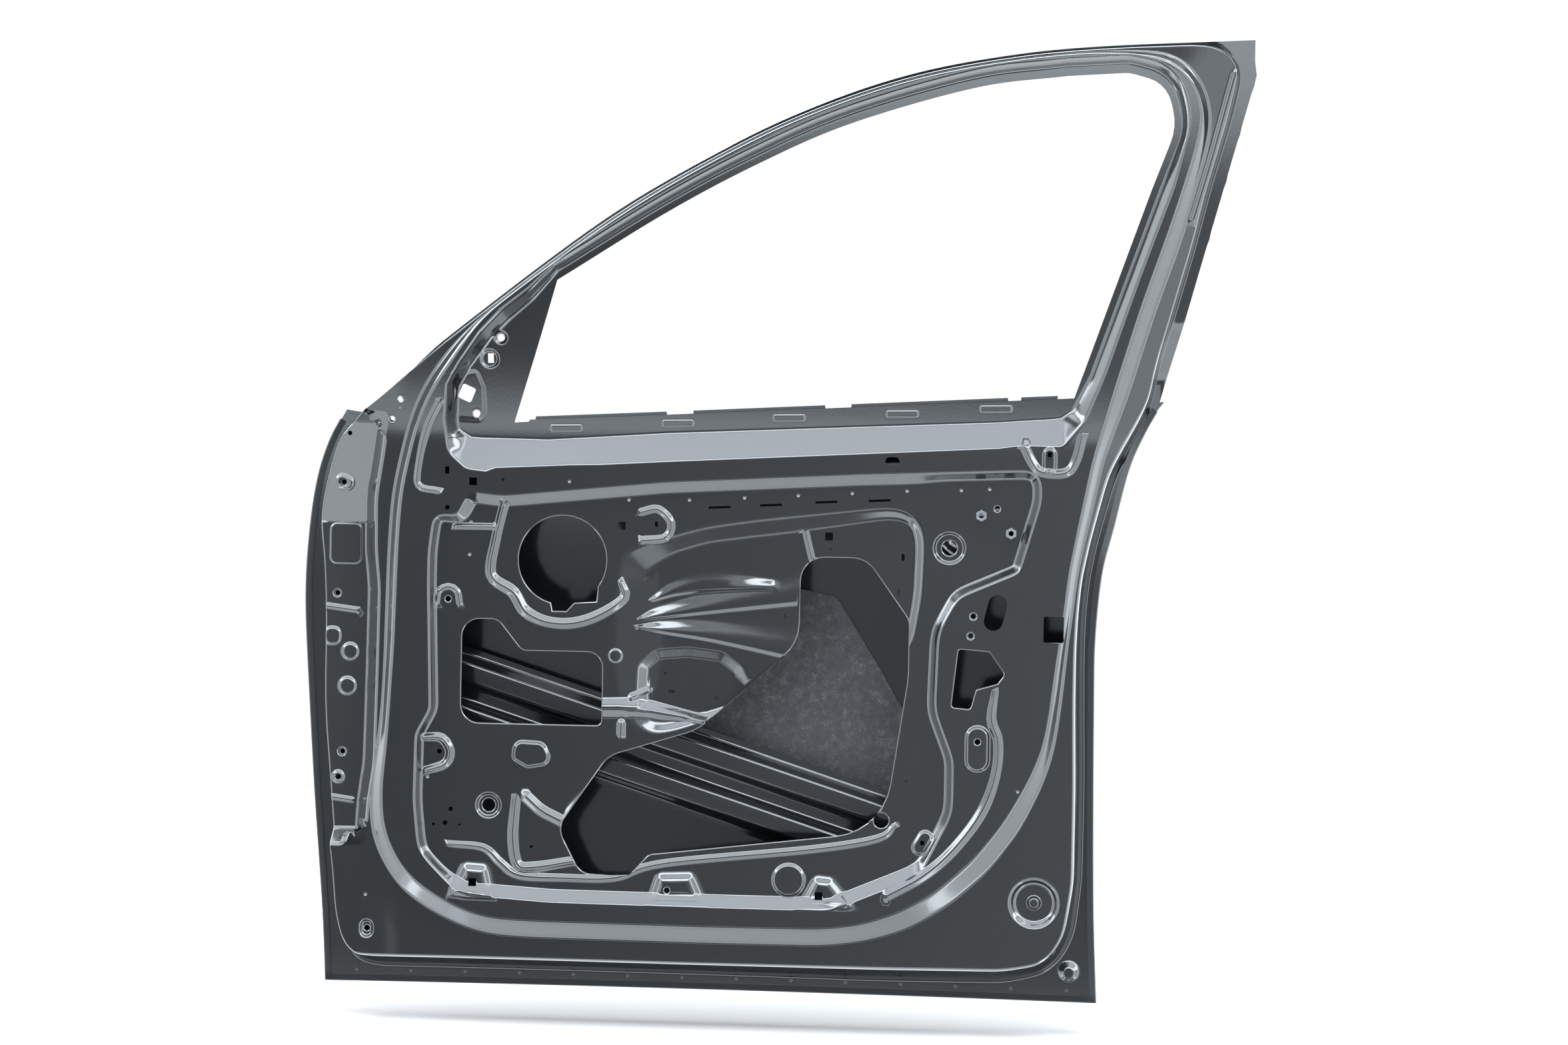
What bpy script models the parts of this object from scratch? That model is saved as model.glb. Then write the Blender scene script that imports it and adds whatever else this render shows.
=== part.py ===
"""Front right-hand car door shell in bare pressed steel, seen from its inner side.

+X runs to the rear of the car, +Y outboard and +Z up. The origin is the middle of
the upper hinge seat. Sizes are in metres; an outline's points are X, Z in
millimetres, each with the radius of its corner where it has one.
"""
import math

import bmesh
import bpy
import numpy as np
from mathutils import Vector
from mathutils.geometry import delaunay_2d_cdt

# Sheet and clearances
PANEL_SHEET = 0.0008
SKIN_SHEET = 0.0008
FRAME_SHEET = 0.0012
BELT_SHEET = 0.0010
BEAM_SHEET = 0.0016
BRACKET_SHEET = 0.0015
PLATE_SHEET = 0.0025
PAD_THICKNESS = 0.0025
GAP = 0.0003
FACET_GAP = 0.0006
SKIN_FACET_GAP = 0.0009
ARC_STEP = math.radians(36.0)

# Levels of the inner panel, as Y below the belt line
HINGE_SEAT = 0.0
HINGE_FACE = 0.0015
BAND_LEVEL = -0.030
FACE_LEVEL = -0.045
MODULE_LEVEL = -0.034
FIELD_LEVEL = -0.029
GLASS_SIDE_LEVEL = -0.022
FRAME_FLANGE_LEVEL = -0.005
FRAME_BACK_LEVEL = 0.010

# Lean of the window frame towards the car
LEAN_START = 0.090
LEAN_BLEND = 0.080
LEAN_SLOPE = 0.20
LEAN_RADIUS = 1.6

# Crown of the outer skin
SKIN_CROWN = 0.070
SKIN_CENTRE_X = 0.480
SKIN_CENTRE_Z = -0.200
SKIN_RADIUS_X = 8.0
SKIN_RADIUS_Z = 2.2

# Hem that folds the skin over the panel's flange
HEM_WIDTH = 0.009
HEM_EDGE_GAP = 0.0006
HEM_GAP = 0.0004
BELT_TURN_IN = 0.007

# Drafts of the main pressed steps
FRONT_WALL_DRAFT = 0.005
FRAME_WALL_DRAFT = 0.003
SEAL_HALF = 0.006
MODULE_DRAFT = 0.012
POCKET_DRAFT = 0.018
EMBOSS_DRAFT = 0.003
MIRROR_PAD_DEPTH = 0.003
DISH_DEPTH = 0.004

# Drafts and insets of the outer frame panel's hat
FRAME_HAT_DRAFT = 0.006
FRAME_HAT_INSET = 0.002
FRAME_LIP_WIDTH = 0.007

# Insets of the header's pressed lines from the roof edge and the window edge
ROOF_FLANGE = 0.0035
ROOF_SEAL_INSET = 0.011
ROOF_SEAL_DRAFT = 0.003
LIP_WIDTH = 0.010
LIP_DRAFT = 0.007

# Round pressings and holes
SPEAKER_RADIUS = 0.057
STUD_DISH_RADIUS = 0.0315
STUD_RADIUS = 0.009
STUD_DISH_DEPTH = 0.007
STUD_HEIGHT = 0.005
GROMMET_HOLE = 0.0195
HINGE_BOLT_HOLE = 0.011
LATCH_BOLT_HOLE = 0.0085
MIRROR_BOLT_HOLE = 0.0094
CLIP_HOLE = 0.010
SMALL_HOLE = 0.006
DRAIN_PITCH = 0.0715
DRAIN_HOLE = 0.005
DRAIN_START = 0.018
DRAIN_HEIGHT = -0.561
DRAIN_COUNT = 14

# Cup of the outer handle
CUP_DRAFT = 0.012
CUP_DEPTH = 0.014

# Brackets of the side beam, each row as X, lower Z and upper Z
FRONT_BRACKET = ((-0.019, -0.146, -0.086), (0.018, -0.146, -0.086), (0.038, -0.215, -0.105),
                 (0.112, -0.240, -0.122))
REAR_BRACKET = ((0.780, -0.452, -0.338), (0.850, -0.470, -0.357), (0.893, -0.404, -0.342),
                (0.938, -0.402, -0.346))

# Side impact beam
BEAM_FRONT = (0.066, -0.166)
BEAM_REAR = (0.824, -0.406)
BEAM_FLANGE = 0.009
BEAM_FLANK = 0.009
BEAM_CREST = 0.022
BEAM_VALLEY = 0.016
BEAM_DEPTH = 0.022
BEAM_VALLEY_DEPTH = 0.006
BEAM_STANDOFF = 0.034
BEAM_LEVEL = SKIN_CROWN - BEAM_STANDOFF

# Folded belt strips, as drops from the sill and from the skin's belt edge
BELT_TAB = 0.004
BELT_GAP_DROP = 0.008
BELT_FOLDS = (0.014, 0.030, 0.062, 0.074, 0.088)
BELT_HAT_DEPTH = 0.012
BELT_HAT_DROPS = (0.004, 0.016, 0.021, 0.040, 0.045, 0.058)

# Glass channels
CHANNEL_WIDTH = 0.016
CHANNEL_LIP = 0.012
CHANNEL_LEVEL = -0.010

# Rim of the panel: where it leaves the skin for the frame
RIM_BLEND_START = 0.180
RIM_BLEND_SLOPE = 0.040
RIM_BLEND = 0.080

# Nuts and studs
NUT_ACROSS = 0.013
NUT_HEIGHT = 0.0065
NUT_BORE = 0.0068

BLACK_COAT = (0.016, 0.017, 0.019)
DAMPER_GREY = (0.075, 0.076, 0.080)
ZINC_GREY = (0.42, 0.43, 0.44)


def points_mm(rows):
    """Turn an outline in millimetres into metres, each row as x, z, corner radius."""
    return [tuple(0.001 * v for v in row) for row in rows]


def fillet(corners, step=ARC_STEP, closed=True):
    """Round the corners of an outline that state a radius, with arcs of equal steps."""
    ring = []
    count = len(corners)
    for i, corner in enumerate(corners):
        here = np.array(corner[:2])
        radius = corner[2] if len(corner) > 2 else 0.0
        if radius <= 0.0 or (not closed and i in (0, count - 1)):
            ring.append(here)
            continue
        before = np.array(corners[i - 1][:2]) - here
        after = np.array(corners[(i + 1) % count][:2]) - here
        reach_before = np.linalg.norm(before)
        reach_after = np.linalg.norm(after)
        before /= reach_before
        after /= reach_after
        half = 0.5 * math.acos(max(-1.0, min(1.0, float(before @ after))))
        if half > 0.5 * math.pi - 0.02:
            ring.append(here)
            continue
        run = min(radius / math.tan(half), 0.49 * reach_before, 0.49 * reach_after)
        radius = run * math.tan(half)
        middle = here + (before + after) / np.linalg.norm(before + after) * (radius / math.sin(half))
        start = here + before * run - middle
        sweep = math.pi - 2.0 * half
        turn = 1.0 if start[0] * (-before[1]) - start[1] * (-before[0]) > 0.0 else -1.0
        steps = max(1, math.ceil(sweep / step))
        for k in range(steps + 1):
            a = turn * sweep * k / steps
            c, s = math.cos(a), math.sin(a)
            ring.append(middle + np.array((c * start[0] - s * start[1], s * start[0] + c * start[1])))
    return np.array(ring)


def flow(knots, spacing):
    """Draw an open smooth curve through the knots, with points about one spacing apart."""
    pts = [np.array(k[:2]) for k in knots]
    pts = [2 * pts[0] - pts[1]] + pts + [2 * pts[-1] - pts[-2]]
    line = []
    for a, b, c, d in zip(pts, pts[1:], pts[2:], pts[3:]):
        steps = max(1, round(float(np.linalg.norm(c - b)) / spacing))
        for k in range(steps):
            t = k / steps
            line.append(0.5 * (2 * b + (c - a) * t + (2 * a - 5 * b + 4 * c - d) * t * t
                               + (3 * b - a - 3 * c + d) * t ** 3))
    line.append(pts[-2])
    return np.array(line)


def circle(x, z, diameter, sides):
    """Give the corners of a round hole or pressing."""
    angles = 2.0 * math.pi * (np.arange(sides) + 0.5) / sides
    return np.column_stack((x + 0.5 * diameter * np.cos(angles), z + 0.5 * diameter * np.sin(angles)))


def slot(x, z, length, width, tilt, radius, step=ARC_STEP):
    """Give a tilted rectangle with round corners, as used for slots and square holes."""
    c, s = math.cos(math.radians(tilt)), math.sin(math.radians(tilt))
    corners = []
    for u, v in ((-1, -1), (1, -1), (1, 1), (-1, 1)):
        a, b = 0.5 * length * u, 0.5 * width * v
        corners.append((x + c * a - s * b, z + s * a + c * b, radius))
    return fillet(corners, step)


def counterclockwise(ring):
    x, z = ring[:, 0], ring[:, 1]
    area = float(np.sum(x * np.roll(z, -1) - np.roll(x, -1) * z))
    return ring if area > 0.0 else ring[::-1]


def inset(ring, distance):
    """Move a closed outline inwards, by one distance or by one for each point."""
    ring = counterclockwise(ring)
    ahead = np.roll(ring, -1, axis=0) - ring
    ahead /= np.linalg.norm(ahead, axis=1)[:, None]
    behind = np.roll(ahead, 1, axis=0)
    normals = np.column_stack((-(ahead + behind)[:, 1], (ahead + behind)[:, 0]))
    normals /= np.linalg.norm(normals, axis=1)[:, None]
    across = np.column_stack((-ahead[:, 1], ahead[:, 0]))
    stretch = 1.0 / np.maximum(0.5, np.sum(normals * across, axis=1))
    return ring + normals * (stretch * distance)[:, None]


def divide(ring, longest, closed=True):
    """Split the long edges of a line, so that it can follow a curved level."""
    line = []
    ends = np.roll(ring, -1, axis=0) if closed else ring[1:]
    for a, b in zip(ring, ends):
        steps = max(1, math.ceil(float(np.linalg.norm(b - a)) / longest))
        line += [a + (b - a) * k / steps for k in range(steps)]
    return np.array(line if closed else line + [ring[-1]])


def offset_line(line, distance):
    """Move an open line to its left by a distance, which may differ from point to point."""
    ahead = np.diff(line, axis=0)
    ahead /= np.linalg.norm(ahead, axis=1)[:, None]
    ahead = np.vstack((ahead, ahead[-1]))
    behind = np.vstack((ahead[0], ahead[:-1]))
    normals = np.column_stack((-(ahead + behind)[:, 1], (ahead + behind)[:, 0]))
    normals /= np.linalg.norm(normals, axis=1)[:, None]
    return line + normals * np.reshape(distance, (-1, 1))


def edge_distance(at, line, closed=True):
    """Measure how far each place is from the nearest edge of a line."""
    start = line if closed else line[:-1]
    end = np.roll(line, -1, axis=0) if closed else line[1:]
    along = end - start
    length2 = np.maximum(1e-16, np.sum(along ** 2, axis=1))
    offset = at[:, None, :] - start[None, :, :]
    t = np.clip(np.sum(offset * along[None], axis=2) / length2, 0.0, 1.0)
    gap = offset - t[..., None] * along[None]
    return np.sqrt(np.min(np.sum(gap ** 2, axis=2), axis=1))


def inside(at, ring):
    """Tell which places lie inside a closed outline."""
    x0, z0 = ring[:, 0], ring[:, 1]
    x1, z1 = np.roll(x0, -1), np.roll(z0, -1)
    x, z = at[:, 0:1], at[:, 1:2]
    spans = (z0 > z) != (z1 > z)
    rise = np.where(z1 == z0, 1.0, z1 - z0)
    crossings = spans & (x < (x1 - x0) * (z - z0) / rise + x0)
    return np.sum(crossings, axis=1) % 2 == 1


def rise_between(at, foot, top):
    """Give 0 outside the foot line, 1 inside the top line and a straight ramp between."""
    low = np.where(inside(at, foot), edge_distance(at, foot), 0.0)
    high = np.where(inside(at, top), 0.0, edge_distance(at, top))
    return low / np.maximum(1e-9, low + high)


def mix(a, b, t):
    return a + (b - a) * t


def smoothstep(t):
    t = np.clip(t, 0.0, 1.0)
    return t * t * (3.0 - 2.0 * t)


def lean(z):
    """Give how far the window frame leans inboard at a height."""
    h = z - LEAN_START
    easing = LEAN_SLOPE * np.clip(h, 0.0, LEAN_BLEND) ** 2 / (2.0 * LEAN_BLEND)
    above = np.maximum(0.0, h - LEAN_BLEND)
    return easing + LEAN_SLOPE * above + above ** 2 / (2.0 * LEAN_RADIUS)


def skin_face(at):
    """Give the Y of the skin's outer face."""
    dx, dz = at[:, 0] - SKIN_CENTRE_X, at[:, 1] - SKIN_CENTRE_Z
    return SKIN_CROWN - dx ** 2 / (2.0 * SKIN_RADIUS_X) - dz ** 2 / (2.0 * SKIN_RADIUS_Z)


class Pressing:
    """A shape pressed into a sheet: its foot line, its top line and its rise."""

    def __init__(self, foot, draft, height):
        self.foot = counterclockwise(np.asarray(foot))
        self.top = inset(self.foot, draft)
        self.height = height

    def rise(self, at):
        return rise_between(at, self.foot, self.top)

    def lines(self):
        return [(self.foot, True), (self.top, True)]


class Bead:
    """A narrow rib along a line, with its foot outline and its crest."""

    def __init__(self, line, widths, height):
        self.line = np.asarray(line)
        half = 0.5 * np.broadcast_to(widths, (len(self.line),)).astype(float)
        left = offset_line(self.line, half)
        right = offset_line(self.line, -half)
        lead, trail = self.line[1] - self.line[0], self.line[-1] - self.line[-2]
        first = self.line[0] - lead / np.linalg.norm(lead) * half[0]
        last = self.line[-1] + trail / np.linalg.norm(trail) * half[-1]
        self.foot = counterclockwise(np.vstack((left, last, right[::-1], first)))
        self.height = height

    def rise(self, at):
        low = np.where(inside(at, self.foot), edge_distance(at, self.foot), 0.0)
        return low / np.maximum(1e-9, low + edge_distance(at, self.line, False))

    def lines(self):
        return [(self.foot, True), (self.line, False)]


# The door's outer edge, drawn once and shared by skin, panel and frame
FRONT_EDGE = points_mm([(-23, -576), (-31, -490), (-49, -321), (-62, -140), (-64, -50), (-57, 33), (-46, 92),
                        (-31, 135), (-16, 163)])
REAR_EDGE = points_mm([(986, -576), (981, -438), (978, -200), (978, -110), (985, -25), (999, 36), (1017, 112),
                       (1035, 156), (1051, 186)])
ROOF_EDGE = points_mm([(22, 174), (140, 270), (344, 416), (504, 505), (621, 556), (736, 592), (850, 613),
                       (962, 624), (1151, 632)])
PILLAR_EDGE = points_mm([(1151, 632), (1152, 608, 6), (1155, 592, 6), (1118, 446), (1082, 307), (1062, 232)])
EDGE_SPACING = 0.050
PILLAR_SPACING = 0.040
WALL_SPACING = 0.080
ROOF_WALL_ENDS = (0.030, 1.118)
ROOF_SEAL_ENDS = (0.165, 0.985)

WINDOW_TOP = points_mm([(284, 340), (426, 424), (544, 484), (660, 532), (813, 574), (925, 588)])
WINDOW_CORNER = points_mm([(925, 588), (1000, 592, 40), (1046, 580, 45), (1060, 530, 60), (1033, 458),
                           (954, 231)])
WINDOW_SILL = points_mm([(943, 200, 4), (423, 172), (245, 163), (242, 159), (224, 159, 3)])


def door_edges():
    return (flow(FRONT_EDGE, EDGE_SPACING), flow(REAR_EDGE, EDGE_SPACING), flow(ROOF_EDGE, EDGE_SPACING),
            divide(fillet(PILLAR_EDGE, closed=False), PILLAR_SPACING, False))


FRONT_LINE, REAR_LINE, ROOF_LINE, PILLAR_LINE = door_edges()
WINDOW_HEAD = np.vstack((flow(WINDOW_TOP, EDGE_SPACING)[:-1], fillet(WINDOW_CORNER, closed=False)))
WINDOW_EDGE = counterclockwise(np.vstack((WINDOW_HEAD, fillet(WINDOW_SILL, closed=False))))


def skin_edge():
    """Give the skin's outline: front, belt line, rear and sill, run clockwise."""
    belt = np.array(points_mm([(-7, 175), (12, 172), (60, 160), (243, 159), (420, 168), (600, 177), (780, 187),
                               (943, 196), (1020, 198), (1059, 199)]))
    sill = np.column_stack((np.linspace(REAR_LINE[0, 0], FRONT_LINE[0, 0], 14)[1:-1],
                            np.full(12, REAR_LINE[0, 1])))
    return FRONT_LINE, belt, REAR_LINE[::-1], sill


SKIN_FRONT, SKIN_BELT, SKIN_REAR, SKIN_SILL = skin_edge()
SKIN_OUTLINE = np.vstack((SKIN_FRONT, SKIN_BELT, SKIN_REAR, SKIN_SILL))


def panel_edge():
    """Give the inner panel's outline, held inside the hem and on the frame's own edge."""
    fold = SKIN_SHEET + HEM_EDGE_GAP
    skin = inset(SKIN_OUTLINE, fold)[::-1]
    front = skin[:len(SKIN_FRONT)]
    rear_start = len(SKIN_FRONT) + len(SKIN_BELT)
    rest = skin[rear_start:]
    nose = np.array(points_mm([(-6, 170), (9, 168), (14, 162), (21, 166)]))
    return np.vstack((front, nose, ROOF_LINE, PILLAR_LINE[1:], rest))


PANEL_OUTLINE = panel_edge()


def plateau_lines():
    """Give the foot and top of the wall that lifts the panel off its flange."""
    rows = divide(np.array([
        (-16, -378, 5), (-10, -425, 5), (-5, -480, 5), (2, -520, 8), (16, -545, 14), (41, -554, 20),
        (160, -554, 21),
        (478, -555, 22), (700, -556, 24), (867, -553, 23), (917, -541, 20), (940, -520, 17), (955, -488, 14),
        (963, -418, 11), (964, -296, 12), (962, -194, 12), (961, -124, 11), (962, -78, 10), (966, -32, 10),
        (975, 16, 9), (997, 100, 10), (1009, 126, 9), (1035, 176, 8), (1043, 202, 5), (1047, 226, 5),
        (1052, 251, 5), (1060, 281, 5), (1068, 311, 5), (1088, 386, 5), (1104, 456, 5), (1125, 535, 5),
        (1136, 588, 5), (1135, 610, 4)]) * 0.001, EDGE_SPACING, False)
    front = np.array(points_mm([(-4, 158), (-18, 131), (-31, 88), (-38, 53), (-40, 27), (-36, -9), (-33, -50),
                                (-31, -111), (-30, -214), (-20, -327)]))
    head = offset_line(ROOF_LINE, -ROOF_FLANGE)[::-1]
    head = head[(head[:, 0] > ROOF_WALL_ENDS[0]) & (head[:, 0] < ROOF_WALL_ENDS[1])]
    foot = np.vstack((rows[:, :2], head, front))
    draft = np.concatenate((rows[:, 2], np.full(len(head), FRAME_WALL_DRAFT),
                            np.full(len(front), FRONT_WALL_DRAFT)))
    return foot, inset(foot, draft)


def seal_lines():
    """Give the foot and top of the step that the body's door seal presses on."""
    rows = divide(np.array([
        (68, -125, 6), (66, -167, 5), (64, -210, 5), (60, -261, 6), (54, -309, 7), (54, -352, 8), (61, -384, 9),
        (77, -415, 9), (95, -438, 10), (120, -456, 10), (149, -472, 10), (178, -484, 10), (210, -491, 10),
        (260, -493, 10), (485, -494, 10), (636, -493, 10), (686, -486, 10), (736, -470, 11), (785, -441, 11),
        (834, -397, 11), (873, -346, 10), (902, -291, 8), (917, -250, 6), (924, -210, 5), (929, -166, 5),
        (934, -120, 4), (940, -75, 4), (945, -26, 4), (952, 12, 4), (966, 79, 5), (974, 120, 5), (984, 152, 6),
        (1001, 206, 8), (1032, 311, 8), (1061, 397, 8), (1078, 455, 7), (1089, 497, 6), (1095, 532, 5),
        (1092, 556, 5), (1083, 578, 5), (1068, 595, 5), (1047, 607, 5), (1020, 612, 4)]) * 0.001,
        WALL_SPACING, False)
    front = points_mm([(148, 246), (124, 214), (105, 180), (92, 145), (79, 90), (73, 46), (69, -40)])
    head = offset_line(ROOF_LINE, -ROOF_SEAL_INSET)[::-1]
    head = head[(head[:, 0] > ROOF_SEAL_ENDS[0]) & (head[:, 0] < ROOF_SEAL_ENDS[1])]
    middle = np.vstack((rows[:, :2], head, np.array(front)))
    half = np.concatenate((rows[:, 2], np.full(len(head), 0.5 * ROOF_SEAL_DRAFT), np.full(len(front), SEAL_HALF)))
    return inset(middle, -half), inset(middle, half)


def glass_lines():
    """Give the foot and top of the slope down to the glass side: belt, pillar, header and mirror corner."""
    foot_low = points_mm([(137, 160), (142, 119, 20), (165, 99, 20), (191, 96), (204, 102), (300, 113),
                          (340, 108), (425, 112), (849, 135), (876, 139), (930, 138, 14), (957, 172)])
    foot_pillar = points_mm([(980, 231), (1019, 348), (1058, 458)])
    top_low = points_mm([(149, 165), (152, 148, 10), (168, 139), (269, 137), (424, 148), (849, 168), (926, 174, 10),
                         (941, 184, 6)])
    foot_front = points_mm([(250, 326), (214, 300), (186, 272), (157, 232), (141, 205)])
    top_front = points_mm([(252, 316), (222, 291), (196, 266), (168, 230), (152, 203)])
    head = WINDOW_HEAD[::-1]
    foot_head = offset_line(head, -(LIP_WIDTH + LIP_DRAFT))
    foot_head = foot_head[(foot_head[:, 1] > 0.470) | (foot_head[:, 0] < 0.9)]
    top_head = offset_line(head, -LIP_WIDTH)
    foot_head = foot_head[foot_head[:, 0] > 0.29]
    top_head = top_head[top_head[:, 0] > 0.28]
    foot = np.vstack((fillet(foot_low, closed=False), np.array(foot_pillar), foot_head, np.array(foot_front)))
    top = np.vstack((fillet(top_low, closed=False), top_head, np.array(top_front)))
    return divide(counterclockwise(foot), WALL_SPACING), divide(counterclockwise(top), WALL_SPACING)


PLATEAU_FOOT, PLATEAU_TOP = plateau_lines()
SEAL_FOOT, SEAL_TOP = seal_lines()
GLASS_FOOT, GLASS_TOP = glass_lines()

POCKET = Pressing(fillet(points_mm([(-90, -392), (38, -390, 10), (41, -336), (48, -286), (50, -161), (51, -57, 30),
                                    (46, -9, 30), (45, 61, 60), (62, 172, 10), (-90, 178)])), POCKET_DRAFT, 0.0)
MODULE = Pressing(fillet(points_mm([
    (425, 84), (213, 63), (170, 68, 12), (155, 37, 12), (125, 39, 14), (119, -10), (119, -55), (124, -212, 14),
    (106, -245, 14), (105, -330), (112, -395, 45), (165, -449, 45), (283, -456), (485, -457), (646, -457, 40),
    (757, -410, 40), (797, -330, 60), (797, -262, 40), (773, -200, 30), (776, -100, 60), (800, -55, 25),
    (877, -22, 12), (903, 68), (902, 107, 32), (676, 98)])), MODULE_DRAFT, 0.0)
FIELD_ROWS = np.array([
    (369, -6, 3), (368, -170, 6), (374, -204, 6), (388, -228, 6), (412, -239, 6), (440, -233, 6), (520, -205, 6),
    (600, -150, 6), (700, -150, 6), (742, -118, 8), (753, -54, 9), (755, 6, 9), (754, 26, 10), (745, 44, 10),
    (728, 54, 11), (706, 56, 13), (636, 49, 18), (576, 43, 22), (536, 38, 22), (475, 28, 19), (425, 14, 13)]) * 0.001
FIELD = Pressing(FIELD_ROWS[:, :2], FIELD_ROWS[:, 2], 0.0)
STUD_DISH = Pressing(circle(0.903, -0.443, 2 * STUD_DISH_RADIUS, 20), STUD_DISH_DEPTH, STUD_DISH_DEPTH)


def flange_level(at):
    """Give the inboard face of the panel's outer flange: on the skin below, on the frame above."""
    on_skin = skin_face(at) - SKIN_SHEET - HEM_GAP - PANEL_SHEET
    on_frame = FRAME_FLANGE_LEVEL - lean(at[:, 1])
    start = RIM_BLEND_START + RIM_BLEND_SLOPE * np.clip(at[:, 0], 0.0, 1.0)
    return mix(on_skin, on_frame, smoothstep((at[:, 1] - start) / RIM_BLEND))


def panel_embosses():
    """List the embosses and dishes; a positive height is raised towards the cabin."""
    raised = [
        (circle(0.788, 0.007, 0.041, 14), -DISH_DEPTH), (circle(0.200, -0.335, 0.033, 12), -DISH_DEPTH),
        (circle(0.590, -0.421, 0.043, 14), 0.003),
        (slot(0.828, -0.247, 0.059, 0.031, 90, 0.0155), 0.004),
        (slot(0.760, -0.369, 0.034, 0.020, 60, 0.010), 0.003),
        (fillet(points_mm([(155, -449), (172, -411, 6), (198, -413, 6), (207, -450)])), 0.006),
        (fillet(points_mm([(414, -450), (424, -418, 6), (464, -416, 6), (480, -450)])), 0.006),
        (fillet(points_mm([(606, -452), (625, -416, 6), (643, -418, 6), (673, -450)])), 0.006),
        (circle(0.950, -0.538, 0.026, 10), 0.003), (slot(0.042, -0.499, 0.024, 0.018, 90, 0.009), -DISH_DEPTH),
        (slot(-0.003, 0.079, 0.027, 0.020, -20, 0.010), 0.002),
        (circle(0.008, -0.142, 0.024, 10), 0.002), (circle(0.005, -0.187, 0.025, 10), 0.002),
        (circle(-0.005, -0.306, 0.018, 10), 0.002),
        (slot(-0.016, -0.122, 0.024, 0.025, 0, 0.010), 0.002),
        (circle(0.209, 0.267, 0.018, 10), -MIRROR_PAD_DEPTH), (circle(0.194, 0.240, 0.025, 10), -MIRROR_PAD_DEPTH),
        (slot(0.913, 0.120, 0.034, 0.018, 90, 0.009), 0.003),
        (fillet(points_mm([(232, -250, 14), (272, -252, 14), (284, -280, 12), (250, -286, 12), (230, -275, 8)])), 0.004),
    ]
    return [Pressing(outline, EMBOSS_DRAFT, height) for outline, height in raised]


def panel_beads():
    """List the stiffening beads; a positive height is raised towards the cabin."""
    rows = [
        ([(215, 56), (204, 8), (199, -38), (228, -60), (244, -84), (272, -97), (307, -98), (342, -86), (372, -64),
          (368, -45)], 0.012, 0.005),
        ([(153, 24), (200, 24)], 0.008, 0.003),
        ([(392, 46), (414, 50), (431, 33), (424, 14), (394, 10)], 0.010, 0.003),
        ([(400, -68), (465, -52), (545, -47)], (0.006, 0.020, 0.004), 0.005),
        ([(394, -92), (500, -74), (592, -64)], (0.006, 0.016, 0.020), 0.006),
        ([(386, -96), (490, -113), (580, -128)], (0.004, 0.020, 0.030), 0.006),
        ([(398, -176), (403, -148), (420, -136), (455, -132), (500, -138), (522, -154), (538, -174)], 0.024, 0.005),
        ([(349, -208), (390, -206), (440, -212), (470, -218)], 0.030, 0.007),
        ([(369, -241), (372, -206), (384, -188), (410, -176)], 0.014, 0.006),
        ([(116, -249), (138, -250), (149, -266), (143, -283), (118, -292)], 0.011, 0.004),
        ([(150, -386), (195, -390), (218, -409), (242, -424), (300, -426), (366, -424), (429, -404), (619, -381),
          (703, -365), (724, -348)], 0.009, 0.003),
        ([(236, -327), (233, -375), (240, -410), (262, -413), (312, -404)], 0.012, 0.004),
        ([(250, -323), (270, -340), (294, -352)], 0.014, 0.004),
        ([(849, -174), (845, -209), (854, -238), (851, -281), (834, -328), (800, -375), (763, -409), (717, -436)],
         0.012, 0.005),
        ([(604, 24), (615, -20)], 0.008, 0.003),
        ([(131, 182), (115, 150), (105, 110), (104, 76), (130, 69)], 0.009, 0.003),
        ([(-24, -83), (16, -88)], 0.007, 0.002), ([(-17, -332), (14, -336)], 0.007, 0.002),
        ([(881, 137), (892, 116), (904, 105), (934, 105), (946, 122), (953, 150)], 0.012, 0.004),
        ([(128, -75), (131, -60), (143, -54), (155, -60), (158, -75)], 0.007, 0.002),
        ([(1128, 590), (1116, 540), (1104, 490), (1085, 420)], 0.012, 0.004),
    ]
    return [Bead(points_mm(line), width, height) for line, width, height in rows]


HINGE_PADS = [Pressing(slot(0.0, -0.001, 0.043, 0.054, 0, 0.009), HINGE_FACE - HINGE_SEAT, HINGE_SEAT - HINGE_FACE)]
EMBOSSES = panel_embosses()
BEADS = panel_beads()
STUD = Pressing(circle(0.903, -0.443, 2 * STUD_RADIUS, 10), EMBOSS_DRAFT, -STUD_HEIGHT)


def panel_level(at):
    """Give the inboard face of the inner panel at each place."""
    level = np.full(len(at), BAND_LEVEL)
    level = mix(level, HINGE_FACE, POCKET.rise(at))
    level = mix(level, FACE_LEVEL, rise_between(at, SEAL_FOOT, SEAL_TOP))
    level = mix(level, MODULE_LEVEL, MODULE.rise(at))
    level = mix(level, FIELD_LEVEL, FIELD.rise(at))
    level = mix(level, GLASS_SIDE_LEVEL, rise_between(at, GLASS_FOOT, GLASS_TOP))
    for form in HINGE_PADS:
        level += form.height * form.rise(at)
    for form in EMBOSSES + BEADS:
        level -= form.height * form.rise(at)
    level += STUD_DISH.height * STUD_DISH.rise(at) + STUD.height * STUD.rise(at)
    return mix(flange_level(at), level - lean(at[:, 1]), rise_between(at, PLATEAU_FOOT, PLATEAU_TOP))


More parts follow.
